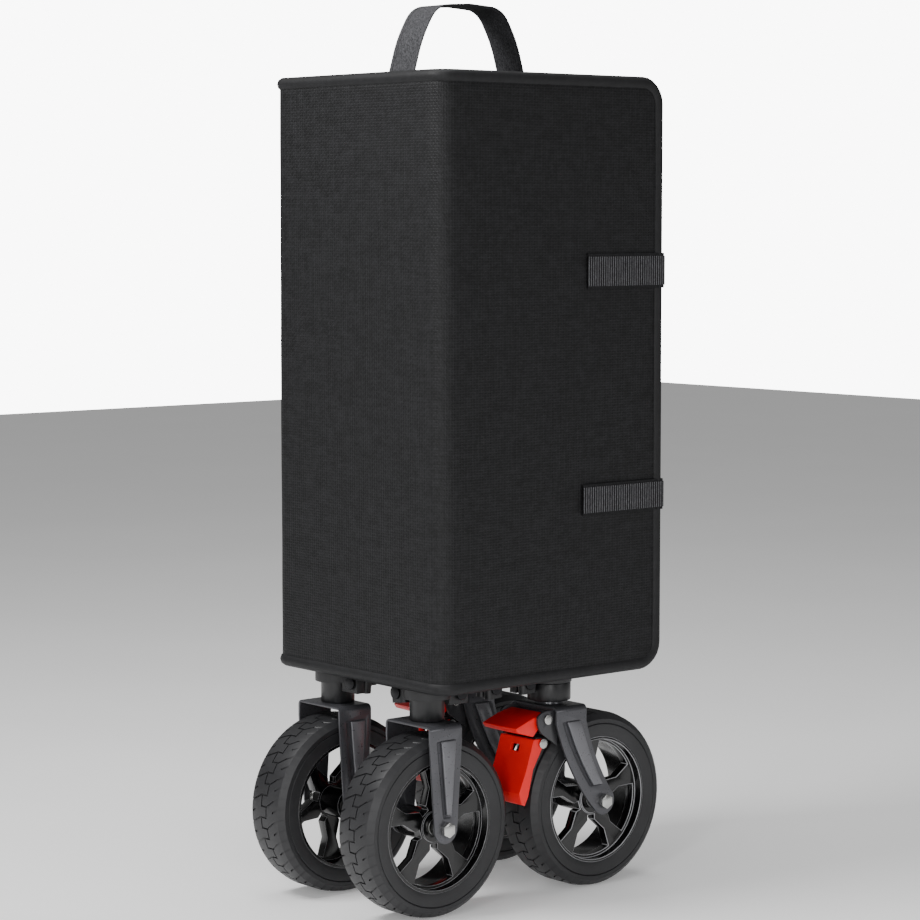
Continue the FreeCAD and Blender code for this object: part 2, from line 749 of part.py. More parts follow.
def lug(name, side, column_y, pin_z, along, toward, layer):
    """A plate that reaches from a column to a lattice pin, in the layer that the bars leave free."""
    reach = s.pin_offset + s.bar_depth / 2 - 1
    start = s.slider_radius + 3
    near = layer * s.layer_gap
    far = layer * (s.layer_gap + s.bar_thickness - 0.6)
    column_x = s.column_x * side
    if along == "y":
        lows = (column_x + near, column_y + toward * start)
        highs = (column_x + far, column_y + toward * reach)
        pin = (column_x - s.bar_thickness, column_y + toward * s.pin_offset)
        turn = TO_X
    else:
        lows = (column_x + toward * start, column_y + near)
        highs = (column_x + toward * reach, column_y + far)
        pin = (column_x + toward * s.pin_offset, column_y - s.bar_thickness)
        turn = TO_Y
    corners = [sorted(pair, key=lambda size: size.value) for pair in zip(lows, highs)]
    half = s.bar_depth / 2
    plate = box(name, (corners[0][0], corners[1][0], pin_z - half),
                (corners[0][1], corners[1][1], pin_z + half))
    hole = cylinder(name + "_hole", s.rivet_radius + s.rivet_clearance, s.bar_thickness * 2,
                    *pin, pin_z, turn)
    return plate, hole


def corner_bracket(name, side, end, column_y, ring, pin_z, upper):
    """A ring round the column with one lug for the side bars and one for the end bars."""
    inward = 1 if end == "rear" else -1
    outer_layer = (end == "rear") != upper
    side_lug, side_hole = lug(name + "_side", side, column_y, pin_z, "y", inward,
                              side if outer_layer else -side)
    back_layer = (side < 0) != upper
    end_lug, end_hole = lug(name + "_end", side, column_y, pin_z, "x", -side,
                            -1 if back_layer else 1)
    bore_radius = s.slider_radius + s.leg_fit if upper else s.socket_radius + s.leg_fit
    bore_top = s.slider_top if upper else s.collar_step + s.ring_height
    bore_low = s.cap_bottom if upper else s.lower_pin_z - s.bar_depth
    bore = cylinder(name + "_bore", bore_radius, bore_top - bore_low, s.column_x * side,
                    column_y, bore_low)
    tools = [bore, side_hole, end_hole]
    if not upper:
        tools.append(cylinder(name + "_housing_bore", s.swivel_radius + s.leg_fit, s.bar_depth,
                              s.column_x * side, column_y, s.collar_step - s.bar_depth))
    return cut(name, fused(name + "_solid", ring, side_lug, end_lug), *tools)


top_brackets = []
bottom_brackets = []
for side, word, end, y in COLUMNS:
    x = s.column_x * side
    cap = cylinder(f"{end}_{word}_cap", s.cap_radius, s.cap_top - s.cap_bottom, x, y, s.cap_bottom)
    top_brackets.append(corner_bracket(f"top_{end}_{word}", side, end, y, cap, s.upper_pin_z, True))
    ring_radius = s.socket_radius + s.ring_wall
    ring = cylinder(f"{end}_{word}_ring", ring_radius, s.ring_height, x, y, s.collar_step)
    bottom_brackets.append(corner_bracket(f"bottom_{end}_{word}", side, end, y, ring,
                                          s.lower_pin_z, False))
node("top_corner_brackets", group("top_corner_brackets", top_brackets))
node("bottom_corner_brackets", group("bottom_corner_brackets", bottom_brackets))


# ---------------------------------------------------------------- folding lattice

middle_y = (s.rear_column_y + s.front_column_y) / 2
rise = s.upper_pin_z - s.lower_pin_z
middle_z = (s.upper_pin_z + s.lower_pin_z) / 2
layer_centre = s.layer_gap + s.bar_thickness / 2
side_span = (s.front_column_y - s.rear_column_y) / 2 - s.pin_offset
end_span = s.column_x * 2 - s.pin_offset * 2


def lattice_bar(name, length, x, y, z, turn):
    """A flat-oval tube with a pin hole at each end and one in the middle."""
    body = new_body(name)
    across = s.bar_thickness / 2
    straight = s.bar_depth / 2 - across
    for shrink in (0, s.bar_wall):
        section = new_sketch(body, "XY_Plane", -s.bar_depth / 2)
        radius = across - shrink
        outline(section, [(-radius, -straight), (0, -straight - radius), (radius, -straight),
                          (radius, straight), (0, straight + radius), (-radius, straight)],
                {0: radius, 1: radius, 3: radius, 4: radius})
        if shrink == 0:
            pad(body, section, length + s.bar_depth, symmetric=False)
        else:
            hollow = pocket(body, section, (length + s.bar_depth) * 2.1)
            hollow.SideType = "Symmetric"
    for height in (0, length / 2, length):
        hole = new_sketch(body, "YZ_Plane")
        circle(hole, 0, height, s.rivet_radius + s.rivet_clearance)
        pocket(body, hole, s.bar_thickness * 2)
    return place(body, x, y, z, turn)


def hypotenuse(span):
    return Size(f"sqrt({span.text} * {span.text} + {rise.text} * {rise.text})",
                math.hypot(span.value, rise.value))


side_bar = hypotenuse(side_span)
end_bar = hypotenuse(end_span)
side_lean = math.degrees(math.atan2(side_span.value, rise.value))
end_lean = math.degrees(math.atan2(end_span.value, rise.value))


def rivet(name, length, x, y, z, turn):
    """A headed rivet through two bars."""
    half = length / 2
    head = half + s.rivet_head
    body = turned(name, [
        (0, -head), (s.rivet_head_radius, -head), (s.rivet_head_radius, -half),
        (s.rivet_radius, -half), (s.rivet_radius, half), (s.rivet_head_radius, half),
        (s.rivet_head_radius, head), (0, head)])
    return place(body, x, y, z, turn)


rivets = []
grip_length = (s.bar_thickness + s.layer_gap) * 2
for side, word in SIDES:
    bars = []
    for end, from_y, toward, layer in (("rear", s.rear_column_y, 1, -1), ("front", s.front_column_y, -1, 1)):
        corner_y = from_y + toward * s.pin_offset
        lean = -toward * side_lean
        up_x = s.column_x * side + layer * side * layer_centre
        down_x = s.column_x * side - layer * side * layer_centre
        bars.append(lattice_bar(f"{word}_{end}_rising_bar", side_bar, up_x, corner_y,
                                s.lower_pin_z, FreeCAD.Rotation(FreeCAD.Vector(1, 0, 0), lean)))
        bars.append(lattice_bar(f"{word}_{end}_falling_bar", side_bar, down_x, middle_y,
                                s.lower_pin_z, FreeCAD.Rotation(FreeCAD.Vector(1, 0, 0), -lean)))
        for pin_name, pin_y, pin_z in (("low", corner_y, s.lower_pin_z),
                                       ("high", corner_y, s.upper_pin_z),
                                       ("cross", (corner_y + middle_y) / 2, middle_z)):
            rivets.append(rivet(f"{word}_{end}_{pin_name}_rivet", grip_length,
                                s.column_x * side, pin_y, pin_z, TO_X))
    for pin_name, pin_z in (("low", s.lower_pin_z), ("high", s.upper_pin_z)):
        rivets.append(rivet(f"{word}_middle_{pin_name}_rivet", grip_length, s.column_x * side,
                            middle_y, pin_z, TO_X))
    node(f"{word}_side_lattice", group(f"{word}_side_lattice", bars))

QUARTER = FreeCAD.Rotation(FreeCAD.Vector(0, 0, 1), 90)
for end, y in (("rear", s.rear_column_y), ("front", s.front_column_y)):
    bars = []
    for side, word in SIDES:
        lean = FreeCAD.Rotation(FreeCAD.Vector(0, 1, 0), -side * end_lean)
        start_x = (s.column_x - s.pin_offset) * side
        bars.append(lattice_bar(f"{end}_{word}_cross_bar", end_bar, start_x,
                                y - layer_centre * side, s.lower_pin_z, lean.multiply(QUARTER)))
        for pin_name, pin_z in (("low", s.lower_pin_z), ("high", s.upper_pin_z)):
            rivets.append(rivet(f"{end}_{word}_{pin_name}_end_rivet", grip_length, start_x, y,
                                pin_z, TO_Y))
    rivets.append(rivet(f"{end}_cross_rivet", grip_length, 0, y, middle_z, TO_Y))
    node(f"{end}_end_lattice", group(f"{end}_end_lattice", bars))
node("lattice_rivets", group("lattice_rivets", rivets))


# ---------------------------------------------------------------- floor hub and its struts

hub_disc = tube("floor_hub", s.rivet_radius, s.hub_disc_radius, s.hub_disc_bottom, s.hub_disc_top)
node("floor_hub", place(hub_disc, 0, middle_y, 0))

struts = []
for side, word, end, y in COLUMNS:
    inward = 1 if end == "rear" else -1
    foot = FreeCAD.Vector((s.column_x.value - s.strut_foot.value) * side,
                          y.value + inward * s.strut_foot.value, s.strut_start.value)
    ring_reach = s.hub_disc_radius.value - s.strut_radius.value - 2
    diagonal = ring_reach / math.sqrt(2)
    head = FreeCAD.Vector(diagonal * side, middle_y.value - inward * diagonal,
                          s.hub_disc_bottom.value - 2)
    strut = tube(f"{end}_{word}_strut", s.strut_radius - s.strut_wall, s.strut_radius, 0,
                 (head - foot).Length)
    strut.Placement = FreeCAD.Placement(
        foot, FreeCAD.Rotation(FreeCAD.Vector(0, 0, 1), head - foot))
    struts.append(strut)
node("floor_struts", group("floor_struts", struts))


# ---------------------------------------------------------------- fabric tub and carry loop

lattice_inside = s.column_x - s.layer_gap - s.bar_thickness - s.rivet_head - 1
pack_half_y = side_span - 14
packs = []
for side, word in SIDES:
    outer = lattice_inside * side
    inner = (lattice_inside - s.fabric_pack) * side
    low, high = sorted((outer, inner), key=lambda size: size.value)
    packs.append(box(f"{word}_wall_pack", (low, middle_y - pack_half_y, s.fabric_low),
                     (high, middle_y + pack_half_y, s.fabric_high)))
end_offset = s.layer_gap + s.bar_thickness + s.rivet_head + 1
for end, wall_y, toward in (("rear", s.rear_column_y, 1), ("front", s.front_column_y, -1)):
    near = wall_y + end_offset * toward
    far = wall_y + (end_offset + s.fabric_pack) * toward
    low, high = sorted((near, far), key=lambda size: size.value)
    packs.append(box(f"{end}_wall_pack", (-s.hub_disc_radius + 4, low, s.fabric_low),
                     (s.hub_disc_radius - 4, high, s.fabric_high)))
node("tub_wall_fabric", group("tub_wall_fabric", packs))

half_x = s.floor_patch_half_x
node("tub_floor_fabric", group("tub_floor_fabric", [
    box("floor_top_patch", (-half_x, s.loop_centre_y - s.loop_foot - 6, s.floor_patch_bottom),
        (half_x, s.loop_centre_y + s.loop_foot + 3, s.floor_patch_top)),
    box("floor_hanging_fold", (-half_x + 4, middle_y - pack_half_y, s.fabric_low),
        (half_x - 4, middle_y + pack_half_y, s.fabric_low + 200))]))


def make_carry_loop(name):
    """A webbing arch: straight legs that lean in, round shoulders and a gently bowed top."""
    body = new_body(name)
    sketch = new_sketch(body, "YZ_Plane")
    thick = s.loop_thickness
    foot_z = s.floor_patch_top
    outer = [(s.loop_foot, foot_z), (s.loop_shoulder, s.loop_shoulder_z),
             (s.loop_crown, s.loop_crown_z), (0, s.loop_top)]
    inner = [(s.loop_foot - thick, foot_z), (s.loop_shoulder - thick, s.loop_shoulder_z),
             (s.loop_crown - 1, s.loop_crown_z - thick), (0, s.loop_top - thick)]
    mirrored = [(-y, z) for y, z in reversed(outer[:-1])]
    back = [(-y, z) for y, z in inner[:-1]]
    path = outer + mirrored + back + list(reversed(inner))
    round_arcs = {1: 50, 2: 80, 3: 80, 4: 50, 8: -47, 9: -77, 10: -77, 11: -47}
    outline(sketch, [(y + s.loop_centre_y, z) for y, z in path], round_arcs)
    pad(body, sketch, s.loop_width)
    return body


node("carry_loop", make_carry_loop("carry_loop"))


# ---------------------------------------------------------------- floor mat round the bundle

half_w = s.mat_width / 2
half_d = s.mat_depth / 2
mat_top = s.mat_top
rear_y = s.mat_centre_y - half_d
front_y = s.mat_centre_y + half_d
inner_w = half_w - s.mat_thickness
rear_inner = rear_y + s.mat_thickness
front_inner = front_y - s.mat_thickness
fixed_left_front = front_inner - s.fold_gap
skin = (s.mat_thickness - s.board_thickness) / 2 - s.board_clearance
board_low = s.mat_bottom + s.board_margin
board_high = mat_top - s.board_margin
STRAPS = [("upper", s.upper_strap_z, s.upper_strap_width),
          ("lower", s.lower_strap_z, s.lower_strap_width)]
BOARDS = [
    ("rear", (-inner_w + 4, rear_y + skin), (inner_w - 4, rear_inner - skin)),
    ("right", (inner_w + skin, rear_inner + 4), (half_w - skin, front_y - s.board_margin)),
    ("left", (-half_w + skin, rear_inner + 4), (-inner_w - skin, fixed_left_front - s.board_margin)),
]


def grown(low, high, size):
    return [value - size for value in low], [value + size for value in high]


def make_mat_cover(name):
    """Three panels in one run: left, rear and right, with a board pocket in each."""
    body = new_body(name + "_shell")
    plan = new_sketch(body, "XY_Plane", s.mat_bottom)
    bend = s.mat_corner
    outline(plan, [
        (-half_w, fixed_left_front), (-half_w, rear_y + bend), (-half_w + bend, rear_y),
        (half_w - bend, rear_y), (half_w, rear_y + bend), (half_w, front_y), (inner_w, front_y),
        (inner_w, rear_inner + 4), (inner_w - 4, rear_inner), (-inner_w + 4, rear_inner),
        (-inner_w, rear_inner + 4), (-inner_w, fixed_left_front)],
        {1: bend, 3: bend, 7: -4, 9: -4})
    pad(body, plan, s.mat_height, symmetric=False)
    tools = []
    for word, low, high in BOARDS:
        low, high = grown((*low, board_low), (*high, board_high), s.board_clearance)
        tools.append(box(f"{word}_board_pocket", low, high))
    for word, z, width in STRAPS:
        low, high = patch_corners(z, width)
        tools.append(box(f"{word}_patch_recess", low, (high[0] + 1, high[1], high[2])))
    return cut(name, body, *tools)


def patch_corners(z, width):
    """The loop-tape patch under a strap, let into the right panel's face."""
    start = front_y - s.strap_reach + s.patch_margin
    return ((half_w - s.patch_depth, start, z + s.patch_margin),
            (half_w, front_y - s.patch_margin * 2, z + width - s.patch_margin))


node("mat_cover", make_mat_cover("mat_cover"))
node("mat_boards", group("mat_boards", [
    box(f"{word}_board", (*low, board_low), (*high, board_high)) for word, low, high in BOARDS]))
node("strap_patches", group("strap_patches", [
    box(f"{word}_patch", *patch_corners(z, width)) for word, z, width in STRAPS]))

panel_end = inner_w - s.panel_gap
strap_low_y = front_y + s.strap_gap
strap_high_y = strap_low_y + s.strap_thickness
strap_low_x = half_w + s.strap_gap
strap_high_x = strap_low_x + s.strap_thickness
hinge_x = (strap_low_x + strap_high_x) / 2
hinge_y = (strap_low_y + strap_high_y) / 2
panel_board_low = (-half_w + s.board_margin, front_inner + skin, board_low)
panel_board_high = (panel_end - s.board_margin, front_y - skin, board_high)


def make_front_panel(name):
    """The mat's last panel with a board pocket; the straps' sewn ends lie on its outer face."""
    slab = box(name + "_slab", (-half_w, front_inner, s.mat_bottom), (panel_end, front_y, mat_top))
    low, high = grown(panel_board_low, panel_board_high, s.board_clearance)
    cover = cut(name + "_shell", slab, box(name + "_pocket", low, high))
    bands = []
    for word, z, width in STRAPS:
        sewn = box(f"{word}_sewn_band", (panel_end - s.strap_sewn, front_y, z),
                   (panel_end - s.panel_gap, strap_high_y, z + width))
        wrap = box(f"{word}_wrap_band", (panel_end - s.panel_gap, strap_low_y, z),
                   (hinge_x - s.strap_hinge_gap, strap_high_y, z + width))
        bands += [sewn, wrap]
    return fused(name, cover, *bands)


node("front_panel_cover", make_front_panel("front_panel_cover"))
node("front_panel_board", box("front_panel_board", panel_board_low, panel_board_high))
for word, z, width in STRAPS:
    node(f"{word}_strap", box(f"{word}_strap", (strap_low_x, front_y - s.strap_reach, z),
                              (strap_high_x, hinge_y - s.strap_hinge_gap, z + width)))


# ---------------------------------------------------------------- pull handle

def make_handle_bracket(name):
    """Clevis: a back plate with two ears."""
    half_gap = s.ear_gap / 2
    half = half_gap + s.bracket_plate
    back = s.handle_y - s.handle_radius - 1.5
    low = s.handle_pin_z - 12
    high = s.handle_pin_z + 24
    plate = box(name + "_plate", (-half, back - s.bracket_plate, low), (half, back, high))
    ears = [box(f"{name}_ear{hand + 1}",
                (hand * (half_gap + s.bracket_plate / 2) - s.bracket_plate / 2, back, low),
                (hand * (half_gap + s.bracket_plate / 2) + s.bracket_plate / 2,
                 s.handle_y + 12, s.handle_pin_z + 14)) for hand in (-1, 1)]
    bore = cylinder(name + "_bore", s.handle_pin_radius + 0.05, half * 3, -half * 1.5,
                    s.handle_y, s.handle_pin_z, TO_X)
    rivet_hole = cylinder(name + "_rivet_hole", s.rivet_radius + s.rivet_clearance, 30, 0,
                          back - 15, s.handle_pin_z + 17, TO_Y)
    return cut(name, fused(name + "_solid", plate, *ears), bore, rivet_hole)


node("handle_bracket", make_handle_bracket("handle_bracket"))
pin_half = s.ear_gap / 2 + s.bracket_plate
handle_pin = turned("handle_pivot_pin", [
    (0, -pin_half - 2), (s.handle_pin_radius + 2.5, -pin_half - 2),
    (s.handle_pin_radius + 2.5, -pin_half), (s.handle_pin_radius, -pin_half),
    (s.handle_pin_radius, pin_half), (s.handle_pin_radius + 2.5, pin_half),
    (s.handle_pin_radius + 2.5, pin_half + 2), (0, pin_half + 2)])
node("handle_pivot_pin", place(handle_pin, 0, s.handle_y, s.handle_pin_z, TO_X))

# Two flat links hang from the front cross bars and carry the bracket, as a rhombus does.
link_share = s.link_drop.value / end_bar.value
link_top_z = middle_z.value - rise.value * link_share
link_top_x = end_span.value * link_share
link_low_z = s.handle_pin_z.value + 17
link_length = math.hypot(link_top_x, link_top_z - link_low_z)
link_lean = math.degrees(math.atan2(link_top_x, link_top_z - link_low_z))
lattice_front = s.front_column_y + s.layer_gap + s.bar_thickness
bracket_back = s.handle_y - s.handle_radius - 1.5 - s.bracket_plate


def make_link(name, hand, layer):
    body = new_body(name)
    half = s.link_width / 2
    sketch = new_sketch(body, "XZ_Plane")
    outline(sketch, [(half, 0), (half, link_length), (0, half + link_length), (-half, link_length),
                     (-half, 0), (0, -half)], {1: half, 2: half, 4: half, 5: half})
    pad(body, sketch, s.link_thickness)
    for height in (0, link_length):
        hole = new_sketch(body, "XZ_Plane")
        circle(hole, 0, height, s.rivet_radius + s.rivet_clearance)
        pocket(body, hole, s.link_thickness * 3)
    lean = FreeCAD.Rotation(FreeCAD.Vector(0, 1, 0), hand * link_lean)
    y = bracket_back - (s.link_thickness + 0.2) * (layer + 0.5)
    return place(body, 0, y, link_low_z, lean)


link_studs = [cylinder("link_low_stud", s.rivet_radius, s.link_thickness * 2 + s.bracket_plate + 2,
                       0, bracket_back - s.link_thickness * 2 - 0.6, link_low_z, TO_Y)]
for hand, layer in ((1, 0), (-1, 1)):
    bar_face = lattice_front if hand < 0 else lattice_front - s.bar_thickness - s.layer_gap * 2
    reach = bracket_back - (s.link_thickness + 0.2) * layer - bar_face
    link_studs.append(cylinder(f"link_top_stud{layer}", s.rivet_radius, reach,
                               link_top_x * hand, bar_face, link_top_z, TO_Y))
node("handle_links", group("handle_links", [make_link("handle_link_a", 1, 0),
                                            make_link("handle_link_b", -1, 1), *link_studs]))


def make_handle_foot(name):
    """Plastic foot: round under the pin, with a spigot that plugs the tube."""
    body = new_body(name)
    radius = s.handle_radius
    sketch = new_sketch(body, "YZ_Plane")
    top = s.handle_foot_top - s.handle_pin_z
    outline(sketch, [(radius, top), (-radius, top), (-radius, 0), (0, -radius), (radius, 0)],
            {2: radius, 3: radius})
    pad(body, sketch, s.ear_gap - s.ear_clearance * 2)
    hole = new_sketch(body, "YZ_Plane")
    circle(hole, 0, 0, s.handle_pin_radius + s.handle_pin_clearance)
    pocket(body, hole, s.ear_gap * 2)
    spigot = new_sketch(body, "XY_Plane", top)
    circle(spigot, 0, 0, radius - s.handle_wall)
    pad(body, spigot, s.inner_bottom - s.handle_foot_top - 2, symmetric=False)
    return place(body, 0, s.handle_y, s.handle_pin_z)


node("handle_foot", make_handle_foot("handle_foot"))
outer_tube = tube("handle_outer_tube", s.handle_radius - s.handle_wall, s.handle_radius,
                  s.handle_foot_top, s.handle_tube_top)
node("handle_outer_tube", place(outer_tube, 0, s.handle_y, 0))
inner_tube = tube("handle_inner_tube", s.inner_radius - s.handle_wall, s.inner_radius,
                  s.inner_bottom, s.inner_top)
node("handle_inner_tube", place(inner_tube, 0, s.handle_y, 0))


def make_lock_collar(name):
    """Collar on the outer tube's mouth, with a slot for its button."""
    seat = s.handle_radius
    guide = s.inner_radius + s.slide_clearance
    round_edge = 1.5
    body = turned(name + "_body", [
        (seat, s.collar_bottom), (s.lock_radius - round_edge, s.collar_bottom),
        (s.lock_radius, s.collar_bottom + round_edge), (s.lock_radius, s.collar_top - round_edge),
        (s.lock_radius - round_edge, s.collar_top), (guide, s.collar_top),
        (guide, s.handle_tube_top), (seat, s.handle_tube_top)])
    place(body, 0, s.handle_y, 0)
    slot_half = s.button_width / 2 + s.button_clearance
    slot = box(name + "_slot", (-slot_half, button_floor, button_low - s.button_clearance),
               (slot_half, s.handle_y + s.lock_radius + 2, button_high + s.button_clearance))
    return cut(name, body, slot)


button_floor = s.handle_y + s.handle_radius + 0.8
button_middle = (s.collar_bottom + s.collar_top) / 2
button_low = button_middle - s.button_height / 2
button_high = button_middle + s.button_height / 2
button_back = button_floor + s.button_travel + 0.2
node("handle_lock_collar", make_lock_collar("handle_lock_collar"))
node("handle_lock_button", box("handle_lock_button", (-s.button_width / 2, button_back, button_low),
                               (s.button_width / 2, button_back + s.button_thickness, button_high)))


def make_grip(name):
    """D-shaped grip: a neck over the tube, two arms and a bar to hold."""
    body = new_body(name)
    sketch = new_sketch(body, "XZ_Plane")
    half = s.grip_width / 2
    neck = s.inner_radius + 4.5
    low, neck_top, top = s.grip_bottom, s.grip_neck_top, s.grip_top
    outline(sketch, [
        (-neck, low), (neck, low), (neck, neck_top - 8), (half - 10, neck_top + 6), (half, neck_top + 18),
        (half, top - 8), (half - 8, top), (-half + 8, top), (-half, top - 8),
        (-half, neck_top + 18), (-half + 10, neck_top + 6), (-neck, neck_top - 8)],
        {3: 14, 5: 8, 7: 8, 9: 14})
    pad(body, sketch, s.grip_depth)
    window = new_sketch(body, "XZ_Plane")
    open_half = half - s.grip_rim
    outline(window, [
        (-open_half + 8, neck_top + 7), (open_half - 8, neck_top + 7), (open_half, neck_top + 18),
        (open_half, s.grip_bar_bottom), (-open_half, s.grip_bar_bottom),
        (-open_half, neck_top + 18)], {1: 14, 5: 14})
    pocket(body, window, s.grip_depth * 2)
    bore = new_sketch(body, "XY_Plane", low)
    circle(bore, 0, 0, s.inner_radius + 0.05)
    pocket(body, bore, (s.inner_top - low) * 2)
    return place(body, 0, s.handle_y, 0)


node("handle_grip", make_grip("handle_grip"))


# ---------------------------------------------------------------- check and write

doc.recompute()
broken = [thing.Name for thing in doc.Objects
          if any(word in thing.State for word in ("Invalid", "Error"))]
if broken:
    raise RuntimeError(f"objects that failed to build: {broken}")
for name, thing in nodes.items():
    if thing.Shape.isNull() or not thing.Shape.isValid():
        raise RuntimeError(f"{name} has no valid shape")

os.makedirs("parts", exist_ok=True)
for name, thing in nodes.items():
    thing.Shape.exportStep(f"parts/{name}.step")
    print(f"{name:26s} {len(thing.Shape.Solids):3d} solids {thing.Shape.Volume / 1000:9.1f} cm3")
print(len(nodes), "nodes")
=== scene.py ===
# %% [markdown]
# # A folded wagon, wrapped in its own floor mat
# This wagon stands folded on its four wheels. Its padded floor mat is wrapped round the folded
# frame and held by two straps, and a webbing loop on top carries it. The frame of every piece
# comes from the CAD model, so each step reads its places from there and adds the real surface.

# %% Load the frame
import json
import math

import bmesh
import bpy
from mathutils import Matrix, Vector

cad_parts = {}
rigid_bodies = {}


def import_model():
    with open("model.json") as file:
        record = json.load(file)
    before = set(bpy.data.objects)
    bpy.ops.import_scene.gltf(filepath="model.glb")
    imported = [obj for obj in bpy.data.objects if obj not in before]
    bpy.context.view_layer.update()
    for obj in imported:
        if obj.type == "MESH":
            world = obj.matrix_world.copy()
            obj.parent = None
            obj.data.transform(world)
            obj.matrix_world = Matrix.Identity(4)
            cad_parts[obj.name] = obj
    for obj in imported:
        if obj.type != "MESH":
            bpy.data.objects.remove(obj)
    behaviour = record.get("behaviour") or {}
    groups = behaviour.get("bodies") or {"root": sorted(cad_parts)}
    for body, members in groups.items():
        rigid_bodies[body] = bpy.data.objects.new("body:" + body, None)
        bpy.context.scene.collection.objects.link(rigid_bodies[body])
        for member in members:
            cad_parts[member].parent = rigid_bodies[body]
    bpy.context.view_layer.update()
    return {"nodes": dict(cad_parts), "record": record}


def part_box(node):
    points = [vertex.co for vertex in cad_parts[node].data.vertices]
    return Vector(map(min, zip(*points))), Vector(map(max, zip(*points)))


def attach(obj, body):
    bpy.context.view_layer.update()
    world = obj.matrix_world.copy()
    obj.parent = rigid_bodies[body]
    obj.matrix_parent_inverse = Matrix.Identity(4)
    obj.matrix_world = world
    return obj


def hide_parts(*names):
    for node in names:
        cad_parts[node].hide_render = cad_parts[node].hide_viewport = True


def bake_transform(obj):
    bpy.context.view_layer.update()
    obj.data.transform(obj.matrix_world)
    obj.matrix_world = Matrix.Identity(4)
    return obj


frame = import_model()
ops = bpy.ops
MM = 0.001
nodes = frame["nodes"]

# %% [markdown]
# ## Colours and node trees
# A paint maker gives colours as hex values, which are sRGB, but a shader mixes light in linear
# values. One function turns the first into the second. Another adds a node with its settings
# and its links, so a finish reads as a short list of what it does.

# %% Colour and node helpers
def linear(code):
    """Linear RGBA of an sRGB hex colour."""
    parts = [int(code[i:i + 2], 16) / 255 for i in (1, 3, 5)]
    return [c / 12.92 if c <= 0.04045 else ((c + 0.055) / 1.055) ** 2.4 for c in parts] + [1]


def add(tree, kind, inputs=None, **settings):
    """Add a node; an input is a value or another node's output."""
    made = tree.nodes.new(kind)
    for name, value in settings.items():
        setattr(made, name, value)
    for socket, value in (inputs or {}).items():
        if isinstance(value, bpy.types.NodeSocket):
            tree.links.new(value, made.inputs[socket])
        else:
            made.inputs[socket].default_value = value
    return made


def surface(name, rough, metal=0.0, coat=0.0):
    """A material with its shader, whose even values sit on the shader's own sockets."""
    made = bpy.data.materials.new(name)
    made.use_nodes = True
    shader = made.node_tree.nodes["Principled BSDF"]
    for socket, value in (("Roughness", rough), ("Metallic", metal), ("Coat Weight", coat),
                          ("IOR", 1.5)):
        shader.inputs[socket].default_value = value
    return made, made.node_tree, shader


def shade_range(tree, value, low, high, start=0.3, end=0.7):
    """Colour that runs between two hex colours as the value goes from start to end."""
    ramp = add(tree, "ShaderNodeValToRGB", {"Fac": value})
    for stop, position, code in zip(ramp.color_ramp.elements, (start, end), (low, high)):
        stop.position = position
        stop.color = linear(code)
    return ramp.outputs["Color"]


def place_of(tree, scale=(1, 1, 1)):
    """Object coordinates in metres, stretched by a scale."""
    where = add(tree, "ShaderNodeTexCoord").outputs["Object"]
    return add(tree, "ShaderNodeMapping", {"Vector": where, "Scale": scale}).outputs["Vector"]


def number(tree, operation, first, second=0.0, third=0.0):
    node = add(tree, "ShaderNodeMath", {0: first, 1: second, 2: third}, operation=operation)
    return node.outputs[0]


print("helpers ready")

# %% [markdown]
# ## Moulded, painted and metal finishes
# Hard parts share one recipe. A fine grain breaks up the highlight, as orange peel does on powder
# coat and spark erosion does on moulded plastic, and a broad, weak cloud changes the tone a
# little over a hand's width. Only the grain size, the depth and the two tones differ.

# %% Hard finishes
def hard_finish(name, tones, rough, grain_mm, depth_mm, metal=0.0, coat=0.0, stretch=(1, 1, 1)):
    made, tree, shader = surface(name, rough, metal, coat)
    cloud = add(tree, "ShaderNodeTexNoise", {"Vector": place_of(tree), "Scale": 28.0,
                                             "Detail": 3.0})
    grain = add(tree, "ShaderNodeTexNoise", {"Vector": place_of(tree, stretch),
                                             "Scale": 1 / (grain_mm * MM), "Detail": 2.0})
    tree.links.new(shade_range(tree, cloud.outputs["Fac"], *tones), shader.inputs["Base Color"])
    blend = number(tree, "MULTIPLY_ADD", grain.outputs["Fac"], 0.16, rough - 0.08)
    tree.links.new(blend, shader.inputs["Roughness"])
    bump = add(tree, "ShaderNodeBump", {"Height": grain.outputs["Fac"], "Strength": 0.6,
                                        "Distance": depth_mm * MM})
    tree.links.new(bump.outputs["Normal"], shader.inputs["Normal"])
    return made


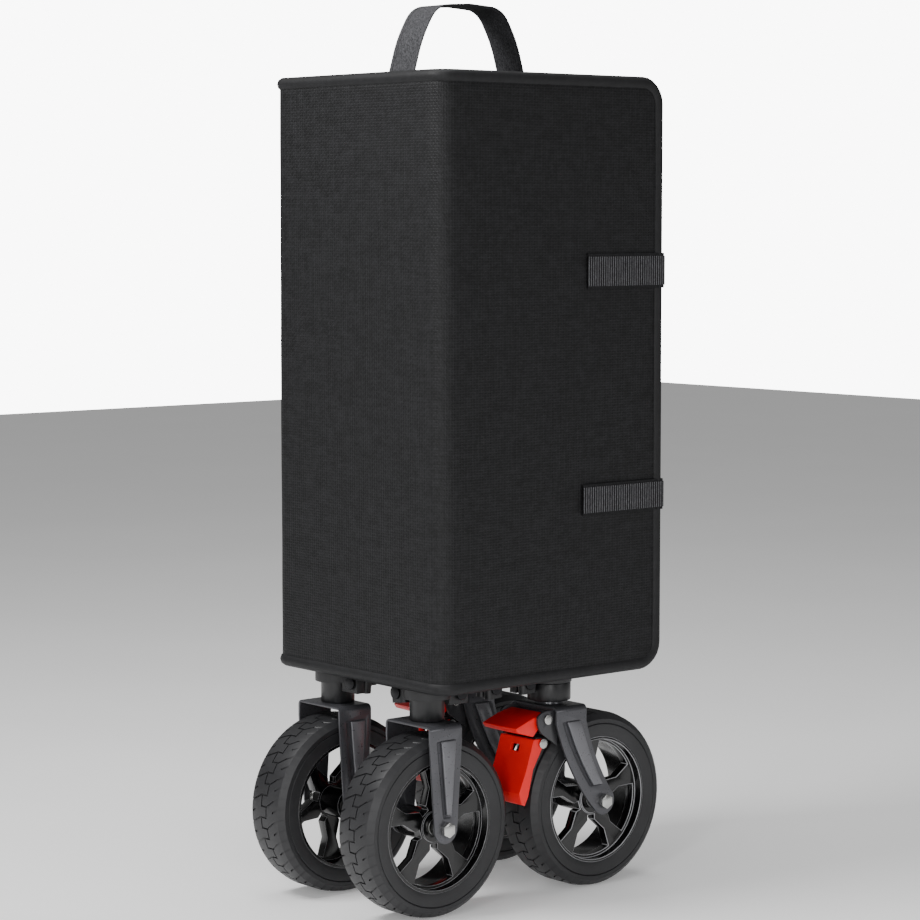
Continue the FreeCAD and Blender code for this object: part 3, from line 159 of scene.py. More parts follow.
FINISH = {
    # Natural-rubber blend on a foam core, moulded: dark grey, dull, with a faint bloom
    "tyre_rubber": hard_finish("moulded_rubber", ("#1e1e20", "#28282a"), 0.5, 1.6, 0.08),
    # High-gloss ABS: reads almost black and shows sharp reflections
    "rim_plastic": hard_finish("gloss_black_abs", ("#060607", "#0a0a0b"),
                               0.20, 9.0, 0.03, coat=0.15),
    # Painted highlight: the moulding's rounded edges all round the spokes, painted light grey as if
    # lit
    "rim_painted_highlight": hard_finish("polished_abs_edge", ("#8f8f92", "#a2a2a5"), 0.32, 9.0, 0.02, coat=0.3),
    # Zinc-plated steel, bright from the plating bath
    "bolt_zinc": hard_finish("bright_zinc_plate", ("#b6b6b4", "#d2d2cf"),
                             0.24, 1.2, 0.02, metal=1.0),
    "bush_steel": hard_finish("turned_steel", ("#8d8d8c", "#a9a9a7"), 0.32, 1.0, 0.02, metal=1.0),
    # Grey powder coat over pressed steel, satin, with a soft metallic look
    "fork_paint": hard_finish("satin_grey_powder_coat", ("#4a4a4e", "#545458"), 0.30, 2.2, 0.012,
                              metal=0.45, coat=0.15),
    # Painted highlight: the raised panel has the fork's paint in a lighter tone, as if it caught
    # more light
    "fork_panel_painted_highlight": hard_finish("satin_grey_panel", ("#68686c", "#747478"), 0.30, 2.2, 0.006,
                              metal=0.45, coat=0.2),
    # Painted shade: the channel beside it has the fork's paint darkened, as if shaded in its deep
    # recess
    "fork_channel_painted_shade": hard_finish("dark_channel_coat", ("#0e0e0f", "#151516"), 0.4, 2.2, 0.01),
    "brake_bracket_paint": hard_finish("satin_grey_bracket_coat", ("#3a3a3c", "#46464a"), 0.30, 1.4,
                                       0.03, metal=0.35, coat=0.15),
    # Black powder coat on the frame tubes, a little rougher
    "frame_paint": hard_finish("black_powder_coat", ("#111113", "#1a1a1c"), 0.42, 1.0, 0.05),
    # Black-oxide steel: the rivets of the lattice
    "rivet_black": hard_finish("black_oxide_steel", ("#1d1d1f", "#2a2a2c"),
                               0.33, 1.0, 0.02, metal=0.8),
    "cage_paint": hard_finish("black_bracket_coat", ("#101012", "#18181a"), 0.38, 1.0, 0.04),
    # Acetal and glass-filled nylon mouldings: black with a fine spark-eroded texture
    "collar_plastic": hard_finish("satin_black_acetal", ("#101012", "#18181a"), 0.38, 1.2, 0.03),
    "bracket_plastic": hard_finish("glass_filled_nylon", ("#141416", "#1e1e20"), 0.5, 1.1, 0.08),
    # Red ABS with a semi-gloss mould finish
    "brake_red": hard_finish("signal_red_abs", ("#f20304", "#fb0506"), 0.42, 3.0, 0.008, coat=0.0),
    "button_plastic": hard_finish("signal_red_button", ("#b3090b", "#c90f10"),
                                  0.3, 2.0, 0.03, coat=0.2),
    # Drawn tubes: the die leaves fine lines along the length
    "slider_tube": hard_finish("drawn_aluminium", ("#8f9194", "#a7a9ac"), 0.34, 1.2, 0.03,
                               metal=1.0,
                               stretch=(1, 1, 0.04)),
    "handle_alloy": hard_finish("anodised_aluminium", ("#9a9c9f", "#b0b2b5"), 0.3, 1.2, 0.02,
                                metal=1.0, stretch=(1, 1, 0.04)),
    "handle_paint": hard_finish("black_tube_coat", ("#121214", "#1b1b1d"), 0.36, 1.2, 0.03),
    "handle_plastic": hard_finish("black_handle_acetal", ("#161618", "#202022"), 0.4, 1.2, 0.04),
    # Soft-touch elastomer: dull, warm black
    "grip_rubber": hard_finish("soft_touch_elastomer", ("#1a1a1b", "#252526"), 0.62, 0.9, 0.08),
    # Twin-wall polypropylene board inside the mat
    "mat_board": hard_finish("twin_wall_board", ("#8e8f90", "#a3a4a5"), 0.5, 4.0, 0.2,
                             stretch=(1, 1, 0.05)),
}
print("hard finishes:", len(FINISH))

# %% [markdown]
# ## Woven cloth
# The mat and the tub are plain-woven polyester. One set of threads is level and one upright, and
# each passes over and under the other. The level set repeats up the height. The upright set
# repeats along x + y, which works on every upright face of a box and runs on round its corners.
# Real threads are about 0.5 mm apart, too fine to show here, so the mat's are drawn 2.6 mm apart.

# %% Cloth finishes
def thread(tree, place, axis_mix, pitch_mm):
    """A rounded ridge that repeats every pitch along a mix of the axes."""
    parts = add(tree, "ShaderNodeVectorMath", {0: place, 1: axis_mix}, operation="DOT_PRODUCT")
    angle = number(tree, "MULTIPLY", parts.outputs["Value"], math.tau / (pitch_mm * MM))
    return number(tree, "SINE", angle)


def woven(name, tones, pitch_mm, depth_mm, rough=0.78, shine=0.2):
    """Plain-woven cloth: level and upright threads that cross, with slubs along both."""
    made, tree, shader = surface(name, rough)
    shader.inputs["Specular IOR Level"].default_value = shine
    place = place_of(tree)
    wander = add(tree, "ShaderNodeTexNoise", {"Vector": place, "Scale": 60.0, "Detail": 2.0})
    level = thread(tree, place, (0, 0, 1), pitch_mm)
    upright = thread(tree, place, (1, 1, 0), pitch_mm * 1.3)
    over = thread(tree, place, (0, 0, 0.5), pitch_mm)
    over_across = thread(tree, place, (0.5, 0.5, 0), pitch_mm)
    check = number(tree, "MULTIPLY", over, over_across)
    ridge = number(tree, "MAXIMUM", number(tree, "ADD", level, check),
                   number(tree, "SUBTRACT", upright, check))
    # Slubs: short thicker stretches of a thread, longer than they are tall
    slubs = add(tree, "ShaderNodeTexNoise", {"Vector": place_of(tree, (80, 80, 330)), "Scale": 1.0,
                                             "Detail": 2.0})
    falls = add(tree, "ShaderNodeTexNoise", {"Vector": place_of(tree, (330, 330, 60)), "Scale": 1.0,
                                             "Detail": 2.0})
    mixed = number(tree, "ADD", slubs.outputs["Fac"], falls.outputs["Fac"])
    tone = number(tree, "MULTIPLY_ADD", ridge, 0.12, number(tree, "MULTIPLY", mixed, 0.5))
    tone = number(tree, "MULTIPLY_ADD", wander.outputs["Fac"], 0.15, tone)
    tree.links.new(shade_range(tree, tone, *tones, 0.5, 0.84), shader.inputs["Base Color"])
    height = number(tree, "MULTIPLY_ADD", mixed, 0.8, ridge)
    bump = add(tree, "ShaderNodeBump", {"Height": height, "Strength": 0.55,
                                        "Distance": depth_mm * MM})
    tree.links.new(bump.outputs["Normal"], shader.inputs["Normal"])
    return made


def webbing(name, tones, pitch_mm, depth_mm):
    """Heavy woven tape: fine flecks over a coarser yarn tone, and both raise the surface."""
    made, tree, shader = surface(name, 0.8)
    shader.inputs["Specular IOR Level"].default_value = 0.25
    fleck = add(tree, "ShaderNodeTexNoise", {"Vector": place_of(tree), "Scale": 900.0,
                                             "Detail": 2.0})
    yarn = add(tree, "ShaderNodeTexNoise", {"Vector": place_of(tree, (1, 1, 0.25)),
                                            "Scale": 1 / (pitch_mm * MM), "Detail": 1.0})
    tone = number(tree, "ADD", number(tree, "MULTIPLY", fleck.outputs["Fac"], 0.6),
                  number(tree, "MULTIPLY", yarn.outputs["Fac"], 0.4))
    tree.links.new(shade_range(tree, tone, *tones, 0.35, 0.68), shader.inputs["Base Color"])
    bump = add(tree, "ShaderNodeBump", {"Height": tone, "Strength": 0.7,
                                        "Distance": depth_mm * MM})
    tree.links.new(bump.outputs["Normal"], shader.inputs["Normal"])
    return made


FINISH["mat_fabric"] = woven("woven_polyester_mat", ("#070708", "#1d1d1f"), 2.6, 0.25, rough=0.6,
                             shine=0.3)
FINISH["mat_binding"] = woven("grosgrain_binding", ("#171718", "#202022"), 1.2, 0.05, rough=0.6,
                              shine=0.3)
FINISH["tub_fabric"] = woven("oxford_tub_cloth", ("#15161a", "#24252a"), 1.5, 0.15)
FINISH["webbing"] = webbing("webbing_ground", ("#0f0f10", "#232325"), 1.4, 0.06)
# The straps' raised ribs: the webbing painted lighter, a painted highlight
FINISH["webbing_rib"] = webbing("webbing_rib_yarn", ("#3c3c3e", "#68686b"), 1.4, 0.06)
FINISH["loop_webbing"] = webbing("flecked_loop_webbing", ("#18181a", "#545457"), 1.1, 0.25)
FINISH["loop_tape"] = webbing("loop_pile_tape", ("#101011", "#1c1c1e"), 0.8, 0.4)
for entry in frame["record"]["subparts"]:
    for place in nodes[entry["node"]].material_slots:
        place.material = FINISH[entry["material_slot"]]
print("finishes:", len(FINISH))

# %% [markdown]
# ## Working by hand, in code
# Every new piece starts from a primitive with nothing else selected, is shaped in edit mode, and
# ends with its place in its mesh. These few helpers do what a hand does between two tools:
# start, pick what the next tool acts on, add a modifier and apply it, and finish.

# %% Modelling helpers
def begin(adder, name, **how):
    """Add one primitive and open it in edit mode, all selected."""
    if bpy.context.mode != "OBJECT":
        ops.object.mode_set(mode="OBJECT")
    ops.object.select_all(action="DESELECT")
    adder(**how)
    piece = bpy.context.object
    piece.name = piece.data.name = name
    ops.object.transform_apply(location=True, rotation=True, scale=True)
    ops.object.mode_set(mode="EDIT")
    return piece


def begin_copy(node, name):
    """A merged copy of a CAD node's mesh, open in edit mode."""
    if bpy.context.mode != "OBJECT":
        ops.object.mode_set(mode="OBJECT")
    ops.object.select_all(action="DESELECT")
    piece = bpy.data.objects.new(name, nodes[node].data.copy())
    bpy.context.scene.collection.objects.link(piece)
    bpy.context.view_layer.objects.active = piece
    piece.select_set(True)
    ops.object.mode_set(mode="EDIT")
    ops.mesh.select_all(action="SELECT")
    ops.mesh.remove_doubles(threshold=0.00001)
    ops.mesh.dissolve_limited(angle_limit=math.radians(0.6))
    return piece


def centre_of(item):
    if isinstance(item, bmesh.types.BMVert):
        return item.co
    if isinstance(item, bmesh.types.BMEdge):
        return (item.verts[0].co + item.verts[1].co) / 2
    return item.calc_center_median()


def pick(kind, test):
    """Select the vertices, edges or faces that pass a test on themselves and their centre."""
    shape = bmesh.from_edit_mesh(bpy.context.object.data)
    ops.mesh.select_mode(type=kind)
    ops.mesh.select_all(action="DESELECT")
    found = [item for item in {"VERT": shape.verts, "EDGE": shape.edges, "FACE": shape.faces}[kind]
             if test(item, centre_of(item))]
    for item in found:
        item.select_set(True)
    shape.select_flush_mode()
    bmesh.update_edit_mesh(bpy.context.object.data)
    return len(found)


def modify(piece, kind, **settings):
    """Add a modifier, set it and apply it."""
    if bpy.context.mode != "OBJECT":
        ops.object.mode_set(mode="OBJECT")
    ops.object.select_all(action="DESELECT")
    piece.select_set(True)
    bpy.context.view_layer.objects.active = piece
    added = piece.modifiers.new(kind.lower(), kind)
    for name, value in settings.items():
        setattr(added, name, value)
    ops.object.modifier_apply(modifier=added.name)


def round_edges(piece, width_mm, segments=2, limit=32, material=-1):
    modify(piece, "BEVEL", width=width_mm * MM, segments=segments, limit_method="ANGLE",
           angle_limit=math.radians(limit), use_clamp_overlap=True, material=material)


def join(piece, *others):
    """Join other pieces into one."""
    if bpy.context.mode != "OBJECT":
        ops.object.mode_set(mode="OBJECT")
    ops.object.select_all(action="DESELECT")
    for each in (piece, *others):
        each.select_set(True)
    bpy.context.view_layer.objects.active = piece
    ops.object.join()
    return piece


def finish(piece, body, finish_name, stands_for=(), smooth=35):
    """Shade the piece, give it its finish and put it on its body."""
    if bpy.context.mode != "OBJECT":
        ops.object.mode_set(mode="OBJECT")
    ops.object.select_all(action="DESELECT")
    piece.select_set(True)
    bpy.context.view_layer.objects.active = piece
    ops.object.transform_apply(location=True, rotation=True, scale=True)
    ops.object.shade_smooth_by_angle(angle=math.radians(smooth))
    if finish_name:
        piece.data.materials.clear()
        piece.data.materials.append(FINISH[finish_name])
    if body:
        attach(piece, body)
    if stands_for:
        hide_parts(*stands_for)
    print(f"{piece.name}: {len(piece.data.polygons)} faces")
    return piece


def copy_to(piece, name, shift=(0, 0, 0), mirrored=False):
    """A copy with its own mesh, moved, and mirrored across x = 0 if asked."""
    twin = bpy.data.objects.new(name, piece.data.copy())
    bpy.context.scene.collection.objects.link(twin)
    twin.data.transform(Matrix.Translation(shift))
    if mirrored:
        twin.data.transform(Matrix.Diagonal((-1, 1, 1, 1)))
        twin.data.flip_normals()
    return twin


print("helpers ready")

# %% [markdown]
# ## Tyres
# Each tyre is moulded in one go: a flat sidewall with one fine groove line, a chamfered shoulder
# and a flat tread cut by narrow grooves. A ring of vertices is extruded across the tread, profile
# point by profile point. Grooves are the faces that are then pushed in. Turning each ring a
# little about the axle afterwards slants the cross grooves, without any new geometry.

# %% Model one tyre and copy it
TYRES = ["rear_left", "rear_right", "front_left", "front_right"]
STEPS = 300           # vertices round a ring: 1.2 degrees each, one groove wide
PITCH_STEPS = 12      # steps from one tread block to the next, so 25 blocks
GROOVE_DEPTH = 1.5


def wheel_centre(word):
    low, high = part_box(f"{word}_tyre")
    return (low + high) / 2, (high.z - low.z) / 2, (high.x - low.x) / 2


centre, radius, half = wheel_centre("rear_right")
sidewall = radius - 11.5 * MM
across = [(-half + 1.5 * MM, radius - 24.5 * MM), (-half, radius - 21.5 * MM),
          (-half, sidewall - 0.7 * MM), (-half + 1 * MM, sidewall), (-half, sidewall + 0.7 * MM),
          (-half, radius - 7 * MM), (-half + 5 * MM, radius - 1.5 * MM),
          (-half + 12 * MM, radius), (-4.6 * MM, radius), (-3.2 * MM, radius)]
profile = across + [(-x, r) for x, r in reversed(across)]

tyre = begin(ops.mesh.primitive_circle_add, "tyre_pattern", vertices=STEPS, radius=profile[0][1],
             location=centre + Vector((profile[0][0], 0, 0)), rotation=(0, math.pi / 2, 0))
for (x0, r0), (x1, r1) in zip(profile, profile[1:] + profile[:1]):
    ops.mesh.extrude_region_move(TRANSFORM_OT_translate={"value": (x1 - x0, 0, 0)})
    ops.transform.resize(value=(1, r1 / r0, r1 / r0), center_override=centre)
ops.mesh.select_all(action="SELECT")
ops.mesh.remove_doubles(threshold=0.00002)
ops.mesh.normals_make_consistent(inside=False)


def is_groove(face, at):
    """Whether a face lies in the stepped centre groove or in a cross groove."""
    x = (at.x - centre.x) / MM
    out = math.hypot(at.y - centre.y, at.z - centre.z)
    if out < radius - 6.5 * MM:
        return False
    turn = math.degrees(math.atan2(at.y - centre.y, at.z - centre.z)) % 360
    step = int(turn / 360 * STEPS) % PITCH_STEPS
    middle = abs(x) < 4.6
    if middle and step in (0, PITCH_STEPS // 2):
        return True
    first_half = step < PITCH_STEPS // 2
    if middle and abs(x) > 3.2:
        return (x < 0) == first_half
    if x > 4.6:
        return step == 0 or (step == PITCH_STEPS // 2 and x > 13)
    return x < -4.6 and (step == PITCH_STEPS // 2 or (step == 0 and -20 < x < -13))


cut_faces = pick("FACE", is_groove)
ops.mesh.extrude_region_shrink_fatten(TRANSFORM_OT_shrink_fatten={"value": -GROOVE_DEPTH * MM})
slants = {half: 8, half - 5 * MM: 7, half - 12 * MM: 4, -half: -5, -half + 5 * MM: -5,
          -half + 12 * MM: -3}
for offset, degrees in slants.items():
    pick("VERT", lambda v, at: abs(at.x - centre.x - offset) < 0.6 * MM
         and math.hypot(at.y - centre.y, at.z - centre.z) > radius - 9.4 * MM)
    ops.transform.rotate(value=math.radians(degrees), orient_axis="X", center_override=centre)
ops.object.mode_set(mode="OBJECT")
print("groove faces:", cut_faces)

for word in TYRES:
    spot = wheel_centre(word)[0]
    twin = copy_to(tyre, f"{word}_tyre_tread", spot - centre)
    finish(twin, f"{word}_wheel", "tyre_rubber", stands_for=[f"{word}_tyre"], smooth=28)
bpy.data.objects.remove(tyre)

# %% [markdown]
# ## Rims, bushes and bolts
# The rims are deep, glossy mouldings with five spokes, and a mould never leaves a knife edge. The
# CAD shapes are right, so a copy is merged into closed surfaces and every sharp edge is rounded.
# The rounded edges catch the light, which is what makes gloss plastic and plated steel read.
# On the rims the rounded edges are also painted light grey, a painted highlight.

# %% Round the edges of hard parts
def rounded_copy(node, body, width_mm, edge=None, smooth=35, segments=2):
    """A copy of a CAD node with rounded edges, on its body and in its own finish."""
    piece = begin_copy(node, node + "_rounded")
    if edge:
        piece.data.materials.append(FINISH[edge])
    round_edges(piece, width_mm, segments, material=1 if edge else -1)
    return finish(piece, body, None, stands_for=[node], smooth=smooth)


for word in TYRES:
    # The rims' rounded edges get the light grey painted highlight
    rounded_copy(f"{word}_rim", f"{word}_wheel", 2.4, edge="rim_painted_highlight")
    rounded_copy(f"{word}_bush", f"{word}_wheel", 0.4)
rounded_copy("rear_axle_bolts", "root", 0.7)
for word in ("left", "right"):
    rounded_copy(f"front_{word}_fasteners", f"front_{word}_caster", 0.7)

# %% [markdown]
# ## Forks
# A fork is pressed from one steel strip: a crown bent down into two plates, each stiffened by an
# embossed panel with a deep channel along its leading side. The channel is cut as a shallow
# recess, and the panel stands in it. Both are plates grown upward row by row, so they can taper
# on the straight rear fork and follow the sweep of the front one. The channel has the fork's
# paint darkened as painted shade, and the panel the same paint lightened as a painted highlight.

# %% Fork helpers
PLATE_HALF = (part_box("rear_left_fork")[1].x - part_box("rear_left_fork")[0].x) / 2


def stack(name, rows, x_low, x_high):
    """A plate between two x values that grows from row to row, each (z, y low, y high)."""
    z, low, high = rows[0]
    spot = Vector(((x_low + x_high) / 2, (low + high) / 2, z))
    piece = begin(ops.mesh.primitive_plane_add, name, size=1)
    ops.transform.resize(value=(x_high - x_low, high - low, 1))
    ops.transform.translate(value=spot)
    for z, low, high in rows[1:]:
        step = Vector((0, (low + high) / 2, z)) - Vector((0, spot.y, spot.z))
        ops.mesh.extrude_region_move(TRANSFORM_OT_translate={"value": step})
        verts = [v.co.y for v in bmesh.from_edit_mesh(piece.data).verts if v.select]
        spot = spot + step
        ops.transform.resize(value=(1, (high - low) / (max(verts) - min(verts)), 1),
                             center_override=spot)
    ops.mesh.select_all(action="SELECT")
    ops.mesh.normals_make_consistent(inside=False)
    ops.object.mode_set(mode="OBJECT")
    return piece


def cut_away(piece, cutter):
    modify(piece, "BOOLEAN", operation="DIFFERENCE", solver="EXACT", object=cutter)
    bpy.data.objects.remove(cutter)


def embossed_fork(node, name, column_x, recess, panel):
    """A fork with its channel and panel on both plates."""
    fork = begin_copy(node, name)
    ops.object.mode_set(mode="OBJECT")
    panels = []
    for side in (-1, 1):
        face = column_x + side * PLATE_HALF
        inner, outer = sorted((face - side * 1.3 * MM, face + side * 4 * MM))
        cutter = stack("recess", recess, inner, outer)
        round_edges(cutter, 3.0, 3)
        # The channel's faces take the darkened paint, a painted shade
        cutter.data.materials.append(FINISH["fork_channel_painted_shade"])
        cut_away(fork, cutter)
        inner, outer = sorted((face - side * 1.5 * MM, face + side * 1.5 * MM))
        raised = stack("panel", panel, inner, outer)
        round_edges(raised, 1.2, 3)
        # The raised panel takes the lighter tone, a painted highlight
        raised.data.materials.append(FINISH["fork_panel_painted_highlight"])
        panels.append(raised)
    round_edges(fork, 0.8)
    return join(fork, *panels)


# %% Rear forks
low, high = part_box("rear_left_fork")
column_x, middle = (low.x + high.x) / 2, (low.y + high.y) / 2
top = high.z - 14 * MM
bottom = radius + 10 * MM


def tapered(bottom_z, bottom_span, top_z, top_span):
    return [(bottom_z, middle + bottom_span[0] * MM, middle + bottom_span[1] * MM),
            (top_z, middle + top_span[0] * MM, middle + top_span[1] * MM)]


rear_fork = embossed_fork("rear_left_fork", "rear_left_fork_pressed", column_x,
                          tapered(bottom, (-4, 7.4), top, (-12, 13.2)),
                          tapered(bottom + 3.5 * MM, (0.5, 6.4), top - 1 * MM, (-6, 11.8)))
twin = copy_to(rear_fork, "rear_right_fork_pressed", (-2 * column_x, 0, 0))
finish(rear_fork, "root", None, stands_for=["rear_left_fork"], smooth=30)
finish(twin, "root", None, stands_for=["rear_right_fork"], smooth=30)

# %% Front forks
low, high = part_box("front_left_fork")
HALF_FORK = 19.75                # mm, half a fork's depth at its crown
steer_y = low.y + HALF_FORK * MM     # the column's centre


def sweep(z, share):
    """Across the swept plate at a height: 0 is its trailing edge and 1 its leading edge."""
    drop = (high.z - 33.3 * MM - z) / (83.7 * MM)
    trail = -HALF_FORK + 51.75 * drop - 20.6 * drop * (1 - drop)
    lead = HALF_FORK + 36.3 * drop - 14.6 * drop * (1 - drop)
    return steer_y + (trail + (lead - trail) * share) * MM


LEVELS = 7
heights = [top - (top - bottom - 6 * MM) * step / (LEVELS - 1) for step in range(LEVELS)]
heights.reverse()
recess = [(z, sweep(z, 0.2), sweep(z, 0.84)) for z in heights]
panel = [(z + 1.5 * MM, sweep(z, 0.36), sweep(z, 0.8)) for z in heights[:-1]]
panel.append((heights[-1] - 1 * MM, sweep(heights[-1], 0.36), sweep(heights[-1], 0.8)))
front_fork = embossed_fork("front_left_fork", "front_left_fork_pressed", column_x, recess, panel)
twin = copy_to(front_fork, "front_right_fork_pressed", (-2 * column_x, 0, 0))
finish(front_fork, "front_left_caster", None, stands_for=["front_left_fork"],
       smooth=30)
finish(twin, "front_right_caster", None, stands_for=["front_right_fork"],
       smooth=30)

# %% [markdown]
# ## Foot brakes
# Each caster has a red pedal that is trodden on and a red lever that the pedal works. Both are
# ABS mouldings with rounded edges. A small tilted block is cut away inside the lever, behind
# the face where its shallow rounded-rectangle mark would be, so no mark shows. The steel
# brackets behind them keep their pressed edges.

# %% Brake pieces
RECESS_MM = (30, 2.4, 17)        # the block cut away inside the lever, behind its face
LEVER_LEAN = math.radians(23.2)

for word in ("left", "right"):
    caster = f"front_{word}_caster"
    rounded_copy(f"{word}_brake_pedal", f"{word}_pedal", 2.4, smooth=24, segments=3)
    low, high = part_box(f"{word}_brake_lever")
    lever = begin_copy(f"{word}_brake_lever", f"{word}_brake_lever_moulded")
    ops.object.mode_set(mode="OBJECT")
    face_y = low.y + (high.y - low.y) * 0.17
    face_z = low.z + (high.z - low.z) * 0.365
    block = begin(ops.mesh.primitive_cube_add, "lever_recess", size=1)
    ops.transform.resize(value=[size * MM for size in RECESS_MM])
    ops.mesh.bevel(offset=2.0 * MM, segments=3)
    ops.transform.rotate(value=LEVER_LEAN, orient_axis="X", center_override=(0, 0, 0))
    ops.transform.translate(value=((low.x + high.x) / 2, face_y, face_z))
    cut_away(lever, block)
    round_edges(lever, 1.3)
    finish(lever, f"{word}_lever", None, stands_for=[f"{word}_brake_lever"],
           smooth=18)
    rounded_copy(f"{word}_brake_bracket", caster, 0.7)
    rounded_copy(f"{word}_brake_cage", caster, 0.6)

# %% [markdown]
# ## Collars, tubes and the folding frame
# The collars are turned-looking mouldings with a step and a fine ring line. The frame inside the
# mat is seen only from above and below, yet it has the same rounded edges as the rest, because
# a real tube or bracket is never sharp.

# %% Collars and frame
for node, width in (("rear_leg_collars", 1.0), ("front_swivel_housings", 1.0),
                    ("top_corner_brackets", 1.2), ("bottom_corner_brackets", 1.0),
                    ("lattice_rivets", 0.5), ("floor_hub", 1.5),
                    ("handle_bracket", 0.6), ("handle_links", 0.4), ("handle_pivot_pin", 0.4)):
    rounded_copy(node, "root", width)

# %% [markdown]
# ## The floor mat
# The mat is four padded panels in one run. Folded round the frame, it is a left, a rear and a
# right panel, and the front panel closes the box. Cloth is stretched over foam and board, so the
# faces are nearly flat, the folds are soft, and a raised binding is sewn round every free edge.
# The run is one sheet in the panels' middle plane: a flat grid is spun round each corner and
# extruded along the next side, and Solidify then gives it its thickness.

# %% Mat sizes and helpers
low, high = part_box("mat_cover")
panel_low, panel_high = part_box("front_panel_cover")
THICK = 10 * MM
BINDING = 6.6 * MM          # radius of the raised binding
FOLD = 15 * MM              # radius of a soft fold, at the middle plane
EDGE_CURVE = 20 * MM        # how round the free corners are
mid = THICK / 2
z_low, z_high = low.z + BINDING, high.z - BINDING
right_x, left_x = high.x - mid, low.x + mid
rear_y = low.y + mid
free_y = high.y - BINDING


def upright_grid(name, along, at, start, end, columns, rows, bottom=None, top=None):
    """A grid of cells in an upright plane, from start to end along x or y."""
    bottom = z_low if bottom is None else bottom
    top = z_high if top is None else top
    piece = begin(ops.mesh.primitive_grid_add, name, x_subdivisions=columns, y_subdivisions=rows,
                  size=1, rotation=(math.pi / 2, 0, 0 if along == "x" else math.pi / 2))
    length, centre_along = abs(end - start), (start + end) / 2
    if along == "x":
        ops.transform.resize(value=(length, 1, top - bottom))
        ops.transform.translate(value=(centre_along, at, (bottom + top) / 2))
    else:
        ops.transform.resize(value=(1, length, top - bottom))
        ops.transform.translate(value=(at, centre_along, (bottom + top) / 2))
    return piece


def extrude_run(step, times):
    for _ in range(times):
        ops.mesh.extrude_region_move(TRANSFORM_OT_translate={"value": Vector(step) / times})


def bind_edge(piece, name, body, keep=lambda at: True):
    """A round binding along the open edge of a sheet, as its own mesh."""
    ops.object.select_all(action="DESELECT")
    bpy.context.view_layer.objects.active = piece
    piece.select_set(True)
    ops.object.mode_set(mode="EDIT")
    ops.mesh.select_mode(type="EDGE")
    ops.mesh.select_all(action="SELECT")
    ops.mesh.region_to_loop()
    ops.mesh.duplicate()
    before = set(bpy.data.objects)
    ops.mesh.separate(type="SELECTED")
    ops.object.mode_set(mode="OBJECT")
    edge = next(each for each in bpy.data.objects if each not in before)
    edge.name = edge.data.name = name
    ops.object.select_all(action="DESELECT")
    bpy.context.view_layer.objects.active = edge
    edge.select_set(True)
    ops.object.mode_set(mode="EDIT")
    pick("VERT", lambda vertex, at: not keep(at))
    ops.mesh.delete(type="VERT")
    ops.object.mode_set(mode="OBJECT")
    ops.object.convert(target="CURVE")
    edge.data.bevel_depth = BINDING
    edge.data.bevel_resolution = 3
    edge.data.use_fill_caps = True
    ops.object.convert(target="MESH")
    return finish(edge, body, "mat_binding", smooth=60)


def pad_out(sheet, body, node):
    """Give a panel sheet its thickness, a faint unevenness and its cloth."""
    modify(sheet, "SUBSURF", subdivision_type="SIMPLE", levels=2, render_levels=2)
    clouds = bpy.data.textures.new(sheet.name + "_clouds", "CLOUDS")
    clouds.noise_scale = 0.16
    modify(sheet, "DISPLACE", texture=clouds, strength=1.6 * MM, mid_level=0.5)
    modify(sheet, "SOLIDIFY", thickness=THICK - 1.6 * MM, offset=0)
    round_edges(sheet, 2.0, 2, 40)
    finish(sheet, body, "mat_fabric", stands_for=[node], smooth=50)


# %% Left, rear and right panels
cover = upright_grid("mat_cover_sewn", "y", right_x, rear_y + FOLD, free_y, 6, 12)
pick("EDGE", lambda edge, at: at.y < rear_y + FOLD + MM
     and abs(edge.verts[0].co.y - edge.verts[1].co.y) < MM)
ops.mesh.spin(steps=8, angle=math.pi / 2, center=(right_x - FOLD, rear_y + FOLD, 0), axis=(0, 0, 1))
extrude_run((left_x - right_x + 2 * FOLD, 0, 0), 6)
ops.mesh.spin(steps=8, angle=math.pi / 2, center=(left_x + FOLD, rear_y + FOLD, 0), axis=(0, 0, 1))
left_free = free_y - THICK - 1.4 * MM
extrude_run((0, left_free - rear_y - FOLD, 0), 6)
ops.mesh.select_all(action="SELECT")
ops.mesh.remove_doubles(threshold=0.0001)


def is_free_corner(vertex, at):
    at_edge = at.y > (free_y if at.x > 0 else left_free) - MM
    return at_edge and min(at.z - z_low, z_high - at.z) < MM


pick("VERT", is_free_corner)
ops.mesh.bevel(offset=EDGE_CURVE, segments=6, affect="VERTICES")
ops.mesh.select_all(action="SELECT")
ops.mesh.normals_make_consistent(inside=False)
ops.object.mode_set(mode="OBJECT")
print("cover sheet:", len(cover.data.polygons), "faces, x from",
      round(min(v.co.x for v in cover.data.vertices), 4))
bind_edge(cover, "mat_cover_binding", "root")
pad_out(cover, "root", "mat_cover")

# %% [markdown]
# ## The front panel and its fold
# The front panel is the end of the run. It swings open about the left front corner, where the
# same cloth simply folds. The panel is bound on its three free edges, and a narrow cloth fold
# covers the corner, so nothing tears when it opens.

# %% Front panel
front_mid = low.y + (high.y - low.y) - mid
panel_end = high.x - THICK - 0.8 * MM - BINDING
panel = upright_grid("front_panel_sewn", "x", front_mid, left_x, panel_end, 5, 12)
pick("VERT", lambda vertex, at: at.x > panel_end - MM and min(at.z - z_low, z_high - at.z) < MM)
ops.mesh.bevel(offset=EDGE_CURVE, segments=6, affect="VERTICES")
ops.mesh.select_all(action="SELECT")
ops.object.mode_set(mode="OBJECT")
bind_edge(panel, "front_panel_binding", "front_panel",
          keep=lambda at: at.x > left_x + MM or min(at.z - z_low, z_high - at.z) < MM)
pad_out(panel, "front_panel", "front_panel_cover")


# %% Webbing and cloth bent along a path
def path_curve(name, points):
    """A path in its own x-y plane for the Curve modifier."""
    data = bpy.data.curves.new(name, "CURVE")
    data.dimensions = "2D"
    line = data.splines.new("POLY")
    line.points.add(len(points) - 1)
    for spot, (u, v) in zip(line.points, points):
        spot.co = (u, v, 0, 1)
    made = bpy.data.objects.new(name, data)
    bpy.context.scene.collection.objects.link(made)
    return made, sum(math.dist(p, q) for p, q in zip(points, points[1:]))


